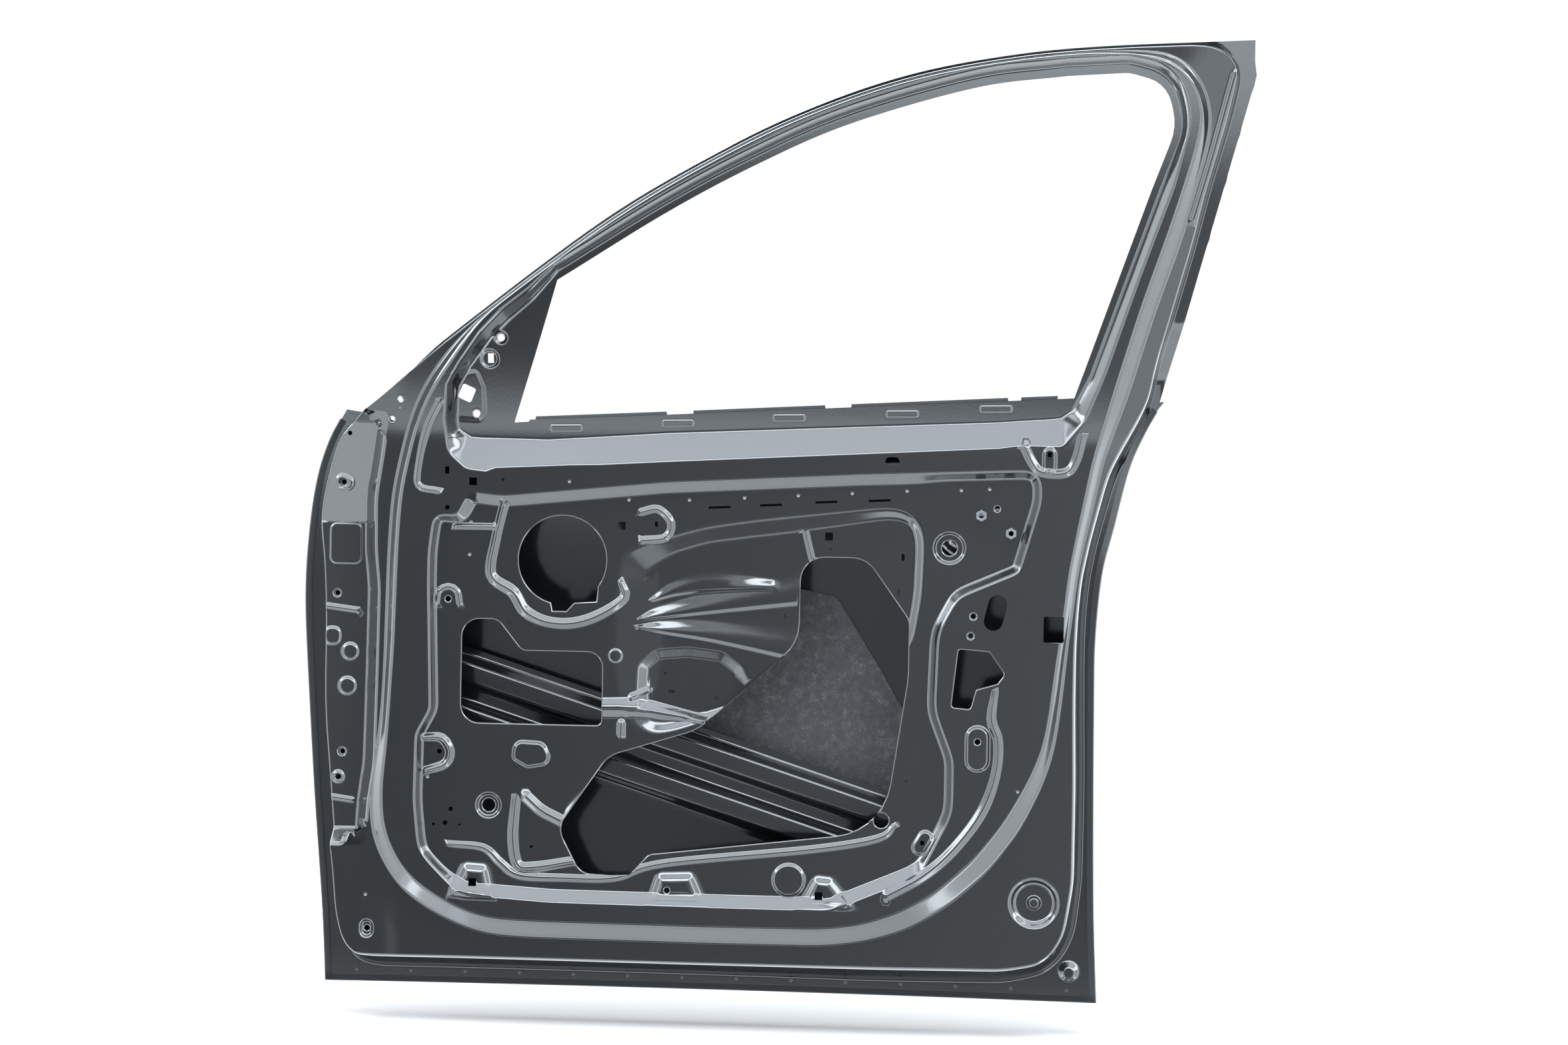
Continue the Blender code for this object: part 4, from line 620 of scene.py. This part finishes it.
def panel_level(at):
    """Inboard face of the pressed panel at each place."""
    level = np.full(len(at), BAND_LEVEL)
    level = mix(level, HINGE_FACE, pocket.share(at))
    level = mix(level, FACE_LEVEL, seal.share(at))
    level = mix(level, MODULE_LEVEL, module.share(at))
    level = mix(level, FIELD_LEVEL, field.share(at))
    level = mix(level, GLASS_SIDE_LEVEL, glass.share(at))
    for form in forms:
        form.add_to(level, at)
    level = tilted(level, at)
    level = mix(flange_level(at), level - lean(at[:, 1]), plateau.share(at))
    corner_dish.add_to(level, at)
    return level


class Layout:
    """Gathers the lines of a sheet and fills it with triangles."""

    def __init__(self, outline, holes):
        self.outline = counterclockwise(np.asarray(outline))
        self.holes = [counterclockwise(np.asarray(h)) for h in holes]
        self.points, self.edges = [], []
        for ring in [self.outline] + self.holes:
            self.add(ring, True)

    def add(self, line, closed):
        start, count = len(self.points), len(line)
        self.points += line.tolist()
        self.edges += [(start + k, start + (k + 1) % count) for k in range(count if closed else count - 1)]

    def kept(self, at):
        keep = within(at, self.outline)
        for hole in self.holes:
            keep &= ~within(at, hole)
        return keep

    def add_within(self, line, closed):
        """Add a line's points that lie on the sheet, joined where neighbours are kept."""
        keep = self.kept(line)
        start = len(self.points)
        number = start + np.cumsum(keep) - 1
        self.points += line[keep].tolist()
        count = len(line)
        for k in range(count if closed else count - 1):
            n = (k + 1) % count
            if keep[k] and keep[n]:
                self.edges.append((int(number[k]), int(number[n])))

    def add_rows(self, shapes):
        for shape in shapes:
            for line, closed in shape.rows():
                self.add_within(line, closed)

    def add_grid(self, spacing, clear):
        """Fill the sheet with a staggered grid, clear of the lines."""
        low, high = self.outline.min(axis=0), self.outline.max(axis=0)
        xs, zs = np.arange(low[0], high[0], spacing), np.arange(low[1], high[1], spacing * 0.866)
        at = np.array([(x + 0.5 * spacing * (k % 2), z) for k, z in enumerate(zs) for x in xs])
        tree = search_tree(self.points)
        self.points += [p for p in at[self.kept(at)].tolist() if tree.find((p[0], p[1], 0.0))[2] > clear]

    def triangles(self):
        made = delaunay_2d_cdt([Vector(p) for p in self.points], self.edges, [], 0, 2e-5)
        at = np.array([p[:] for p in made[0]])
        faces = np.array(made[2])
        faces = faces[self.kept(at[faces].mean(axis=1))]
        used, renumbered = np.unique(faces, return_inverse=True)
        return at[used], renumbered.reshape(-1, 3)


SHARP_ANGLE = math.radians(40.0)


def evaluated_mesh(item):
    return bpy.data.meshes.new_from_object(item.evaluated_get(bpy.context.evaluated_depsgraph_get()))


def finished(name, mesh, thickness):
    """Give a sheet its gauge, smooth its faces up to the cut edges and put it in the scene."""
    item = bpy.data.objects.new(name, mesh)
    bpy.context.scene.collection.objects.link(item)
    if thickness:
        solid = item.modifiers.new("gauge", "SOLIDIFY")
        solid.thickness = thickness
        solid.offset = -1.0
        made = evaluated_mesh(item)
        item.modifiers.remove(solid)
        item.data = made
    item.data.polygons.foreach_set("use_smooth", np.ones(len(item.data.polygons), dtype=bool))
    item.data.set_sharp_from_angle(angle=SHARP_ANGLE)
    return item


def sheet_mesh(name, at, y, faces, outward):
    mesh = bpy.data.meshes.new(name)
    order = faces[:, ::-1] if outward else faces
    mesh.from_pydata(np.column_stack((at[:, 0], y, at[:, 1])).tolist(), [], order.tolist())
    mesh.update()
    return mesh


layout = Layout(panel_outline(), holes)
layout.add_rows([plateau, seal, glass, pocket, module, field] + forms + [corner_dish])
for hole in openings:
    layout.add_within(moved_in(hole, -RIM_ROLL), True)
crease_x = np.linspace(-0.055, 0.060, 24)
for above in (-0.0015, 0.0, 0.002, 0.004, 0.0055):
    crease = np.column_stack((crease_x, np.full(len(crease_x), STRIP_CREASE_Z + above)))
    layout.add_within(crease, False)
layout.add_grid(spacing=0.009, clear=0.004)
panel_at, panel_faces = layout.triangles()
panel_mesh = sheet_mesh("inner_panel_pressing", panel_at, panel_level(panel_at), panel_faces, False)
inner_panel = finished("inner_panel_pressing", panel_mesh, PANEL_SHEET)
SLOPE_STEP = 0.0002


def shade_by_slope(item, level, at):
    """Shade both faces of a sheet by the slope of its level, and its cut edges flat."""
    to_rear, to_top = ((level(at + step) - level(at - step)) / (2.0 * SLOPE_STEP)
                       for step in (np.array((SLOPE_STEP, 0.0)), np.array((0.0, SLOPE_STEP))))
    facing = np.column_stack((to_rear, np.full(len(at), -1.0), to_top))
    facing /= np.linalg.norm(facing, axis=1)[:, None]
    mesh = item.data
    corner = np.empty(len(mesh.loops), dtype=np.int32)
    mesh.loops.foreach_get("vertex_index", corner)
    start = np.empty(len(mesh.polygons), dtype=np.int32)
    size = np.empty_like(start)
    mesh.polygons.foreach_get("loop_start", start)
    mesh.polygons.foreach_get("loop_total", size)
    flat = np.empty(3 * len(mesh.polygons))
    mesh.polygons.foreach_get("normal", flat)
    behind = np.add.reduceat((corner >= len(at)).astype(int), start)
    cut = np.repeat((behind > 0) & (behind < size), size)
    normals = np.vstack((facing, -facing))[corner]
    normals[cut] = np.repeat(flat.reshape(-1, 3), size, axis=0)[cut]
    mesh.normals_split_custom_set(normals)


shade_by_slope(inner_panel, panel_level, panel_at)


class Socket:
    """A node's output that takes part in sums and products."""

    def __init__(self, tree, link):
        self.tree, self.link = tree, link

    def math(self, operation, other):
        return self.tree.node("ShaderNodeMath", {"operation": operation}, {0: self, 1: other})

    def __add__(self, other):
        return self.math("ADD", other)

    def __mul__(self, other):
        return self.math("MULTIPLY", other)


class Nodes:
    """A node tree whose nodes are made by one call each."""

    def __init__(self, tree):
        self.nodes, self.links = tree.nodes, tree.links

    def node(self, kind, settings, inputs, output=0):
        made = self.nodes.new(kind)
        for key, value in settings.items():
            if key == "stops":
                ramp = made.color_ramp
                while len(ramp.elements) < len(value):
                    ramp.elements.new(0.5)
                for element, (at, color) in zip(ramp.elements, value):
                    element.position = at
                    element.color = color
            else:
                setattr(made, key, value)
        for key, value in inputs.items():
            if isinstance(value, Socket):
                self.links.new(value.link, made.inputs[key])
            else:
                made.inputs[key].default_value = value
        return Socket(self, made.outputs[output])

    def ranged(self, value, low, high, start, end, kind="LINEAR"):
        limits = {"Value": value, "From Min": low, "From Max": high, "To Min": start, "To Max": end}
        return self.node("ShaderNodeMapRange", {"interpolation_type": kind}, limits)


class Finish(Nodes):
    """One material, built up from its Principled shader."""

    def __init__(self, name, color, roughness, metallic=0.0, level=0.5):
        self.material = bpy.data.materials.new(name)
        self.material.use_nodes = True
        super().__init__(self.material.node_tree)
        self.shader = self.nodes["Principled BSDF"]
        self.shader.inputs["Base Color"].default_value = (*color, 1.0)
        self.shader.inputs["Roughness"].default_value = roughness
        self.shader.inputs["Metallic"].default_value = metallic
        self.shader.inputs["Specular IOR Level"].default_value = level
        self.place = self.node("ShaderNodeTexCoord", {}, {}, "Object")

    def feed(self, name, value):
        self.links.new(value.link, self.shader.inputs[name])

    def bump(self, height, strength, distance):
        inputs = {"Height": height, "Strength": strength, "Distance": distance}
        return self.node("ShaderNodeBump", {}, inputs)

    def noise(self, scale, detail, rough=0.5):
        inputs = {"Vector": self.place, "Scale": scale, "Detail": detail, "Roughness": rough}
        return self.node("ShaderNodeTexNoise", {}, inputs)

    def clouded(self, scale, detail, gain, base):
        """Vary the roughness from place to place."""
        self.feed("Roughness", self.noise(scale, detail) * gain + base)

    def grained(self, scale, detail, strength, distance):
        """Give the surface the fine relief of its coat."""
        self.feed("Normal", self.bump(self.noise(scale, detail), strength, distance))


coat = Finish("black_electrocoat", (0.010, 0.011, 0.012), 0.18)
coat.clouded(9.0, 3.0, 0.05, 0.085)
coat.grained(260.0, 2.0, 0.08, 0.0003)
inner_panel.data.materials.append(coat.material)
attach(inner_panel, "root")
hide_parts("inner_panel")


# The outer skin: a crowned 0.8 mm sheet with the cup of the outer handle, folded over the panel's
# rim as a hem at the front, the sill and the rear, and turned in at the belt.
HEM_WIDTH, HEM_OPENS = 0.009, 0.0007
BELT_TURN_IN, BELT_BEND = 0.007, 0.0004
fold = 0.5 * (2.0 * SKIN_SHEET + PANEL_SHEET + 2.0 * HEM_GAP)
handle_cup = Form(slot(834, 28, 124, 62, 2, 30), 0.012, 0.014, 0.005)
handle_holes = [slot(760, 26, 16, 26, 2, 4), slot(914, 31, 22, 28, 2, 10)]


def skin_sheet_level(at):
    level = skin_face(at)
    handle_cup.add_to(level, at)
    return level


ring = skin_outline[::-1]
order = np.arange(len(ring))[::-1]
on_belt = (order >= len(front_line)) & (order < len(front_line) + len(belt_line))
ring = counterclockwise(ring)
sheet_ring = moved_in(ring, np.where(on_belt, 0.0, fold))
layout = Layout(sheet_ring, handle_holes)
layout.add_rows([handle_cup])
layout.add_grid(spacing=0.022, clear=0.010)
skin_at, skin_faces = layout.triangles()
skin_mesh = sheet_mesh("outer_skin_pressing", skin_at, skin_sheet_level(skin_at), skin_faces, True)
form = bmesh.new()
form.from_mesh(skin_mesh)
sheet_verts = list(form.verts)


def carry_edge(picks, section):
    """Carry the sheet's edge round a section of (inset, depth) steps."""
    rows = [[sheet_verts[int(np.argmin(np.sum((skin_at - sheet_ring[k]) ** 2, axis=1)))] for k in picks]]
    for reach, depth in section:
        line = moved_in(ring, reach)[picks]
        level = skin_face(line) - depth
        rows.append([form.verts.new((x, y, z)) for (x, z), y in zip(line, level)])
    for a, b in zip(rows, rows[1:]):
        for k in range(len(picks) - 1):
            form.faces.new((a[k], b[k], b[k + 1], a[k + 1]))


bends = np.radians(np.arange(15.0, 180.0, 15.0))
hem = [(fold * (1.0 - math.sin(a)), fold * (1.0 - math.cos(a))) for a in bends]
hem += [(fold, 2.0 * fold), (HEM_WIDTH, 2.0 * fold + HEM_OPENS)]
down_front = [k for k in range(len(ring)) if order[k] < len(front_line)]
past_belt = len(front_line) + len(belt_line)
carry_edge(down_front + [k for k in range(len(ring)) if order[k] >= past_belt], hem)
belt_picks = [k for k in range(len(ring)) if len(front_line) + 2 <= order[k] < past_belt - 1]
carry_edge(belt_picks, [(BELT_BEND, BELT_BEND), (0.0, BELT_TURN_IN)])
bmesh.ops.recalc_face_normals(form, faces=form.faces)
form.faces.ensure_lookup_table()
if sum(face.normal.y * face.calc_area() for face in form.faces) < 0.0:
    bmesh.ops.reverse_faces(form, faces=form.faces)
form.to_mesh(skin_mesh)
form.free()
outer_skin = finished("outer_skin_pressing", skin_mesh, SKIN_SHEET)
outer_skin.data.materials.append(coat.material)
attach(outer_skin, "root")
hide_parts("outer_skin")


# The outer half of the window frame: a 1.2 mm hat section spot-welded to the panel's rim and to
# its window lip, with the mirror corner and the foot of the rear pillar in one piece with it.
FRAME_SHEET, FACET_GAP, FRAME_BACK_LEVEL, MIRROR_PAD_DEPTH = 0.0012, 0.0006, 0.010, 0.003
hat_outer = moved_in(plateau.rings[0], 0.002)
hat_inner = moved_in(glass.rings[1], -0.007)
hat_rise = Wall(hat_outer, moved_in(hat_outer, 0.006), 0.0018)
hat_fall = Wall(hat_inner, moved_in(hat_inner, 0.006), 0.0018)
mirror_zone = Form(traced([(155, 153, 8), (217, 154, 6), (247, 285, 6), (224, 295, 6), (191, 262),
                           (165, 228), (152, 200, 10)]), 0.0015, -MIRROR_PAD_DEPTH, 0.0006)


def frame_back_level(at):
    """Inboard face of the outer frame: flanges on the panel, hat between."""
    leaning = lean(at[:, 1])
    level = mix(flange_level(at) + PANEL_SHEET + FACET_GAP, FRAME_BACK_LEVEL - leaning, hat_rise.share(at))
    level = mix(level, GLASS_SIDE_LEVEL - leaning + PANEL_SHEET + FACET_GAP, hat_fall.share(at))
    mirror_zone.add_to(level, at)
    return level


head = roof_line[roof_line[:, 0] > 0.055]
foot = mm([(1050, 262), (1044, 240), (1031, 205), (1010, 168), (973, 104), (962, 62), (922, 62), (930, 150)])
# Between the mirror corner and the rear foot the frame has no sheet: the belt closes the window.
pane = window_edge[(window_edge[:, 1] > 0.230) | (window_edge[:, 0] < 0.225) | (window_edge[:, 0] > 0.93)]
REAR_BELT_CORNER = np.array((0.943, 0.200))
first = int(np.argmin(np.sum((pane - REAR_BELT_CORNER) ** 2, axis=1)))
front = mm([(216, 150), (160, 147), (84, 152), (72, 190)])
mirror_holes = [disc(209, 267, 13.4), disc(175, 170, 13.4), slot(195, 241, 11.7, 16),
                slot(163, 196, 22.5, 23.5, -24, 3)]
rim = np.vstack((head, pillar_line[1:-1], foot, np.roll(pane, -first, axis=0), front))
layout = Layout(rim, mirror_holes)
layout.add_rows([hat_rise, hat_fall, mirror_zone])
layout.add_grid(spacing=0.016, clear=0.006)
frame_at, frame_faces = layout.triangles()
frame_mesh = sheet_mesh("window_frame_outer_pressing", frame_at, frame_back_level(frame_at), frame_faces,
                        False)
frame_outer = finished("window_frame_outer_pressing", frame_mesh, FRAME_SHEET)
frame_outer.data.materials.append(coat.material)
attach(frame_outer, "root")
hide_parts("window_frame_outer")


# Belt reinforcements: a folded strip behind the panel's glass side, whose tabs stand above the
# belt, and a hat strip behind the skin; both 1.0 mm steel, spot-welded, with a thinner coat.
def dressed(names, finish):
    """Give carried-over solids their finish."""
    for name in names:
        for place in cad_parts[name].material_slots:
            place.material = finish.material


belt_coat = Finish("belt_coat", (0.010, 0.011, 0.012), 0.2)
belt_coat.clouded(14.0, 3.0, 0.12, 0.16)
belt_coat.grained(180.0, 3.0, 0.12, 0.0004)
dressed(("belt_reinforcement_inner", "belt_reinforcement_outer"), belt_coat)


# Side impact beam: a twin-crest profile of 1.6 mm high-strength steel, drawn with round bends
# and welded to a bracket at each end; the coat shows the long streaks of the rolled strip.
BEAM_ENDS = ((0.066, -0.166), (0.824, -0.406))
BEAM_LEVEL, BEAM_SHEET = 0.036, 0.0016
beam_half = mm([(0, 6), (8, 6, 4), (17, 22, 4), (39, 22, 4), (48, 0, 4), (57, 0)])
beam_profile = rounded([(-u, *v) for u, *v in reversed(beam_half[1:])] + beam_half[1:], False)
beam_front, beam_rear = (np.array(p) for p in BEAM_ENDS)
beam_way = (beam_rear - beam_front) / np.linalg.norm(beam_rear - beam_front)
beam_across = left_of(beam_way[None])[0]
STATIONS = 40
beam_points = []
for across, rise in beam_profile:
    for share in np.linspace(0.0, 1.0, STATIONS):
        x, z = mix(beam_front, beam_rear, share) + beam_across * across
        beam_points.append((x, BEAM_LEVEL - rise, z))
beam_faces = [(k, k + 1, k + 1 + STATIONS, k + STATIONS)
              for k in range(len(beam_points) - STATIONS) if k % STATIONS < STATIONS - 1]
beam_mesh = bpy.data.meshes.new("side_impact_beam_profile")
beam_mesh.from_pydata(beam_points, [], beam_faces)
beam_mesh.update()
if beam_mesh.polygons[0].normal.y > 0.0:
    beam_mesh.flip_normals()
beam = finished("side_impact_beam_profile", beam_mesh, BEAM_SHEET)
beam_coat = Finish("beam_coat", (0.010, 0.011, 0.012), 0.14)
BEAM_SLOPE = -0.307
along_beam = {"Vector": beam_coat.place, "Rotation": (0.0, BEAM_SLOPE, 0.0), "Scale": (3.0, 200.0, 200.0)}
streaks = beam_coat.node("ShaderNodeMapping", {}, along_beam)
streaks = beam_coat.node("ShaderNodeTexNoise", {}, {"Vector": streaks, "Scale": 1.0, "Detail": 3.0})
beam_coat.feed("Roughness", streaks * 0.10 + 0.08)
beam_coat.feed("Normal", beam_coat.bump(streaks, 0.10, 0.0003))
beam.data.materials.append(beam_coat.material)
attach(beam, "root")
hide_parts("side_impact_beam")
dressed(("beam_bracket_front", "beam_bracket_rear"), beam_coat)


# Reinforcement plates behind the hinges, the check strap, the latch, the mirror and the handle:
# blanks of 1.5 or 2.5 mm steel, flat but for the mirror's and the handle's, which follow the
# window frame's lean and the skin.
plate_coat = Finish("plate_coat", (0.012, 0.013, 0.014), 0.3)
plate_coat.clouded(25.0, 3.0, 0.15, 0.22)
plate_coat.grained(320.0, 3.0, 0.15, 0.0003)
dressed(("hinge_reinforcement_upper", "check_strap_reinforcement", "hinge_reinforcement_lower",
         "latch_reinforcement", "mirror_reinforcement", "handle_reinforcement"), plate_coat)


# Glass channels: folded guides of 0.8 mm sheet, welded to the panel ahead of and behind the glass,
# with the panel's black coat.
channel_coat = Finish("channel_coat", (0.010, 0.011, 0.012), 0.22)
channel_coat.clouded(40.0, 2.0, 0.10, 0.18)
channel_coat.grained(240.0, 2.0, 0.12, 0.0003)
dressed(("front_glass_channel", "rear_glass_channel"), channel_coat)


# Damping pad: a 2.5 mm sheet of bitumen stuck to the skin's inner face before the coat is baked;
# its face is mottled and pitted.
bitumen = Finish("damping_bitumen", (0.10, 0.10, 0.105), 0.5, level=0.2)
mottle = bitumen.noise(90.0, 6.0, 0.75)
grain = bitumen.noise(650.0, 4.0, 0.7)
pitted = mottle * 0.55 + grain * 0.45
pad_tones = [(0.40, (0.008, 0.008, 0.009, 1.0)), (0.52, (0.022, 0.023, 0.024, 1.0)),
             (0.62, (0.085, 0.085, 0.088, 1.0))]
bitumen.feed("Base Color", bitumen.node("ShaderNodeValToRGB", {"stops": pad_tones}, {"Fac": pitted}))
bitumen.feed("Roughness", grain * 0.3 + 0.35)
bitumen.feed("Normal", bitumen.bump(pitted, 0.55, 0.0015))
dressed(("skin_damping_pad",), bitumen)


# Weld nuts: six-sided nuts behind the fixing holes of the hinges, the latch and the trim, welded
# to the sheets; their zinc is dulled by the coat.
zinc = Finish("nut_zinc", (0.075, 0.078, 0.082), 0.45, 1.0)
zinc.clouded(300.0, 3.0, 0.2, 0.38)
zinc.grained(900.0, 2.0, 0.15, 0.0002)
dressed([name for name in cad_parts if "_nut_" in name], zinc)


# Spot welds that join the window frame's two halves: flattened spots 5 mm wide round the window
# lip's outboard side, about 45 mm apart, duller than the coat around them.
WELD_PITCH, WELD_WIDTH, WELD_HEIGHT, WELD_INSET = 0.045, 0.0050, 0.00025, 0.0045
WELDS_FROM_Z, WELDS_TO_Z = 0.345, 0.600
WINDOW_CENTRE_X, WINDOW_CENTRE_Z = 0.720, 0.300
weld_line = moved_in(window_edge, -WELD_INSET)
weld_line = weld_line[(weld_line[:, 1] > WELDS_FROM_Z) & (weld_line[:, 1] < WELDS_TO_Z)]
bearing = np.arctan2(weld_line[:, 1] - WINDOW_CENTRE_Z, weld_line[:, 0] - WINDOW_CENTRE_X)
weld_line = weld_line[np.argsort(bearing)]
weld_back = frame_back_level(weld_line) + FRAME_SHEET
curve = bpy.data.curves.new("weld_line", "CURVE")
curve.dimensions = "3D"
track = curve.splines.new("POLY")
track.points.add(len(weld_line) - 1)
for point, (x, z), y in zip(track.points, weld_line, weld_back):
    point.co = (x, y, z, 1.0)
weld_guide = bpy.data.objects.new("weld_line", curve)
bpy.context.scene.collection.objects.link(weld_guide)
weld_coat = Finish("weld_coat", (0.012, 0.012, 0.013), 0.35)
weld_coat.clouded(500.0, 2.0, 0.2, 0.28)
weld_coat.grained(700.0, 2.0, 0.2, 0.0002)
weld_group = bpy.data.node_groups.new("weld_row", "GeometryNodeTree")
weld_group.interface.new_socket("Line", in_out="INPUT", socket_type="NodeSocketGeometry")
for label, value in (("Pitch", WELD_PITCH), ("Width", WELD_WIDTH), ("Height", WELD_HEIGHT)):
    number = weld_group.interface.new_socket(label, in_out="INPUT", socket_type="NodeSocketFloat")
    number.default_value = value
weld_group.interface.new_socket("Mesh", in_out="OUTPUT", socket_type="NodeSocketGeometry")
row = Nodes(weld_group)
line, pitch, width, height = (row.node("NodeGroupInput", {}, {}, name)
                              for name in ("Line", "Pitch", "Width", "Height"))
spaced = row.node("GeometryNodeCurveToPoints", {"mode": "LENGTH"}, {"Curve": line, "Length": pitch})
spot = row.node("GeometryNodeMeshUVSphere", {}, {"Segments": 16, "Rings": 8, "Radius": 0.5})
size = row.node("ShaderNodeCombineXYZ", {}, {"X": width, "Y": height, "Z": width})
placed = row.node("GeometryNodeInstanceOnPoints", {}, {"Points": spaced, "Instance": spot, "Scale": size})
real = row.node("GeometryNodeRealizeInstances", {}, {"Geometry": placed})
painted = row.node("GeometryNodeSetMaterial", {}, {"Geometry": real, "Material": weld_coat.material})
row.links.new(painted.link, row.nodes.new("NodeGroupOutput").inputs["Mesh"])
spread = weld_guide.modifiers.new("weld_row", "NODES")
spread.node_group = weld_group
weld_mesh = evaluated_mesh(weld_guide)
bpy.data.objects.remove(weld_guide)
welds = finished("frame_spot_welds", weld_mesh, 0.0)
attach(welds, "root")


# Studio: a pale floor below the door that turns white further off, white surroundings, and three
# softboxes, above the door and on both sides. What the coat mirrors is set by direction alone.
FLOOR_Z = -0.62
floor_mesh = bpy.data.meshes.new("studio_floor")
corners = [(x, y, FLOOR_Z) for x, y in ((-8, -8), (9, -8), (9, 8), (-8, 8))]
floor_mesh.from_pydata(corners, [], [(0, 1, 2, 3)])
floor = bpy.data.objects.new("studio_floor", floor_mesh)
bpy.context.scene.collection.objects.link(floor)
floor.visible_glossy = False
paper = Finish("floor_paper", (0.62, 0.62, 0.62), 0.8, level=0.0)
below_door = {0: paper.place, 1: (0.55, 0.0, FLOOR_Z)}
afar = paper.node("ShaderNodeVectorMath", {"operation": "DISTANCE"}, below_door, "Value")
paper.feed("Emission Color", paper.ranged(afar, 0.35, 1.6, 0.0, 1.0, "SMOOTHSTEP"))
paper.shader.inputs["Emission Strength"].default_value = 1.0
floor_mesh.materials.append(paper.material)

world = bpy.data.worlds.new("studio_air")
bpy.context.scene.world = world
world.use_nodes = True
air = Nodes(world.node_tree)
direction = air.node("ShaderNodeTexCoord", {}, {}, "Generated")
to_right, to_back, upwards = (air.node("ShaderNodeSeparateXYZ", {}, {"Vector": direction}, axis)
                              for axis in "XYZ")
glow = air.ranged(to_right, -0.20, 0.05, 0.6, 1.3)
# Bright strips: direction, where each starts and is full, where it fades and ends, its radiance,
# and the share of it that goes on past its end.
strips = ((upwards, -0.20, -0.26, -0.34, -0.40, 4.5, 0.0),
          (upwards, -0.55, -0.65, -0.80, -0.90, 7.0, 0.85),
          (upwards, 0.17, 0.20, 0.25, 0.29, 4.0, 0.5),
          (upwards, 0.31, 0.36, 0.50, 0.56, 24.0, 0.18),
          (upwards, 0.54, 0.64, 0.95, 1.00, 10.5, 1.0),
          (to_right, 0.15, 0.24, 0.30, 0.34, 4.0, 0.6),
          (to_right, 0.40, 0.45, 0.52, 0.56, 16.0, 0.42),
          (to_right, -0.25, -0.34, -0.50, -0.60, 1.4, 1.0),
          (to_right, -0.36, -0.44, -0.50, -0.58, 7.5, 0.5),
          (to_right, -0.62, -0.66, -0.70, -0.74, 14.0, 0.4))
for part, low, high, fade, end, radiance, beyond in strips:
    rising = air.ranged(part, low, high, 0.0, radiance, "SMOOTHSTEP")
    glow = glow.math("MAXIMUM", rising * air.ranged(part, fade, end, 1.0, beyond, "SMOOTHSTEP"))
glow = glow * air.ranged(to_back, 0.40, 0.95, 1.0, 0.25)
mirrored, seen, through = (air.node("ShaderNodeLightPath", {}, {}, name)
                           for name in ("Is Glossy Ray", "Is Camera Ray", "Is Transmission Ray"))
unseen = air.ranged(mirrored, 0.0, 1.0, 0.3, glow)
strength = air.ranged(seen.math("MAXIMUM", through), 0.0, 1.0, unseen, 1.0)
tints = [(0.0, (1.0, 1.0, 1.0, 1.0)), (1.0, (0.86, 0.94, 1.0, 1.0))]
tint = air.node("ShaderNodeValToRGB", {"stops": tints}, {"Fac": mirrored})
background = air.nodes["Background"]
air.links.new(strength.link, background.inputs["Strength"])
air.links.new(tint.link, background.inputs["Color"])

for name, at, towards, size, radiance in (
        ("softbox_top", (0.5, -0.75, 2.2), (0.5, -0.35, 0.0), (3.6, 2.4), 9.0),
        ("softbox_left", (-2.1, 0.1, 0.2), (0.5, -0.05, 0.1), (2.6, 2.6), 6.0),
        ("softbox_right", (3.2, 0.1, 0.2), (0.5, -0.05, 0.1), (2.6, 2.6), 6.0)):
    lamp = bpy.data.lights.new(name, "AREA")
    lamp.shape = "RECTANGLE"
    lamp.size, lamp.size_y = size
    lamp.energy = radiance * math.pi * size[0] * size[1]
    lamp.color = (0.92, 0.96, 1.0)
    softbox = bpy.data.objects.new(name, lamp)
    softbox.location = at
    softbox.rotation_euler = (Vector(towards) - Vector(at)).to_track_quat("-Z", "Y").to_euler()
    softbox.visible_camera = False
    softbox.visible_glossy = False
    bpy.context.scene.collection.objects.link(softbox)

# Camera: the photo's view, from in front of the cabin side and a little to the right.
VIEW_YAW, VIEW_ROLL, VIEW_DISTANCE, VIEW_LENS = math.radians(4.4), math.radians(1.0), 3.6, 64.8
VIEW_TARGET = Vector((0.577, -0.045, 0.036))
looking = Vector((-math.sin(VIEW_YAW), math.cos(VIEW_YAW), 0.0))
camera_data = bpy.data.cameras.new("photo_view")
camera_data.sensor_width = 36.0
camera_data.lens = VIEW_LENS
camera = bpy.data.objects.new("photo_view", camera_data)
camera.location = VIEW_TARGET - VIEW_DISTANCE * looking
upright = looking.to_track_quat("-Z", "Y").to_matrix()
camera.rotation_euler = (upright @ Matrix.Rotation(VIEW_ROLL, 3, "Z")).to_euler()
bpy.context.scene.collection.objects.link(camera)
bpy.context.scene.camera = camera
bpy.context.scene.view_settings.view_transform = "Standard"
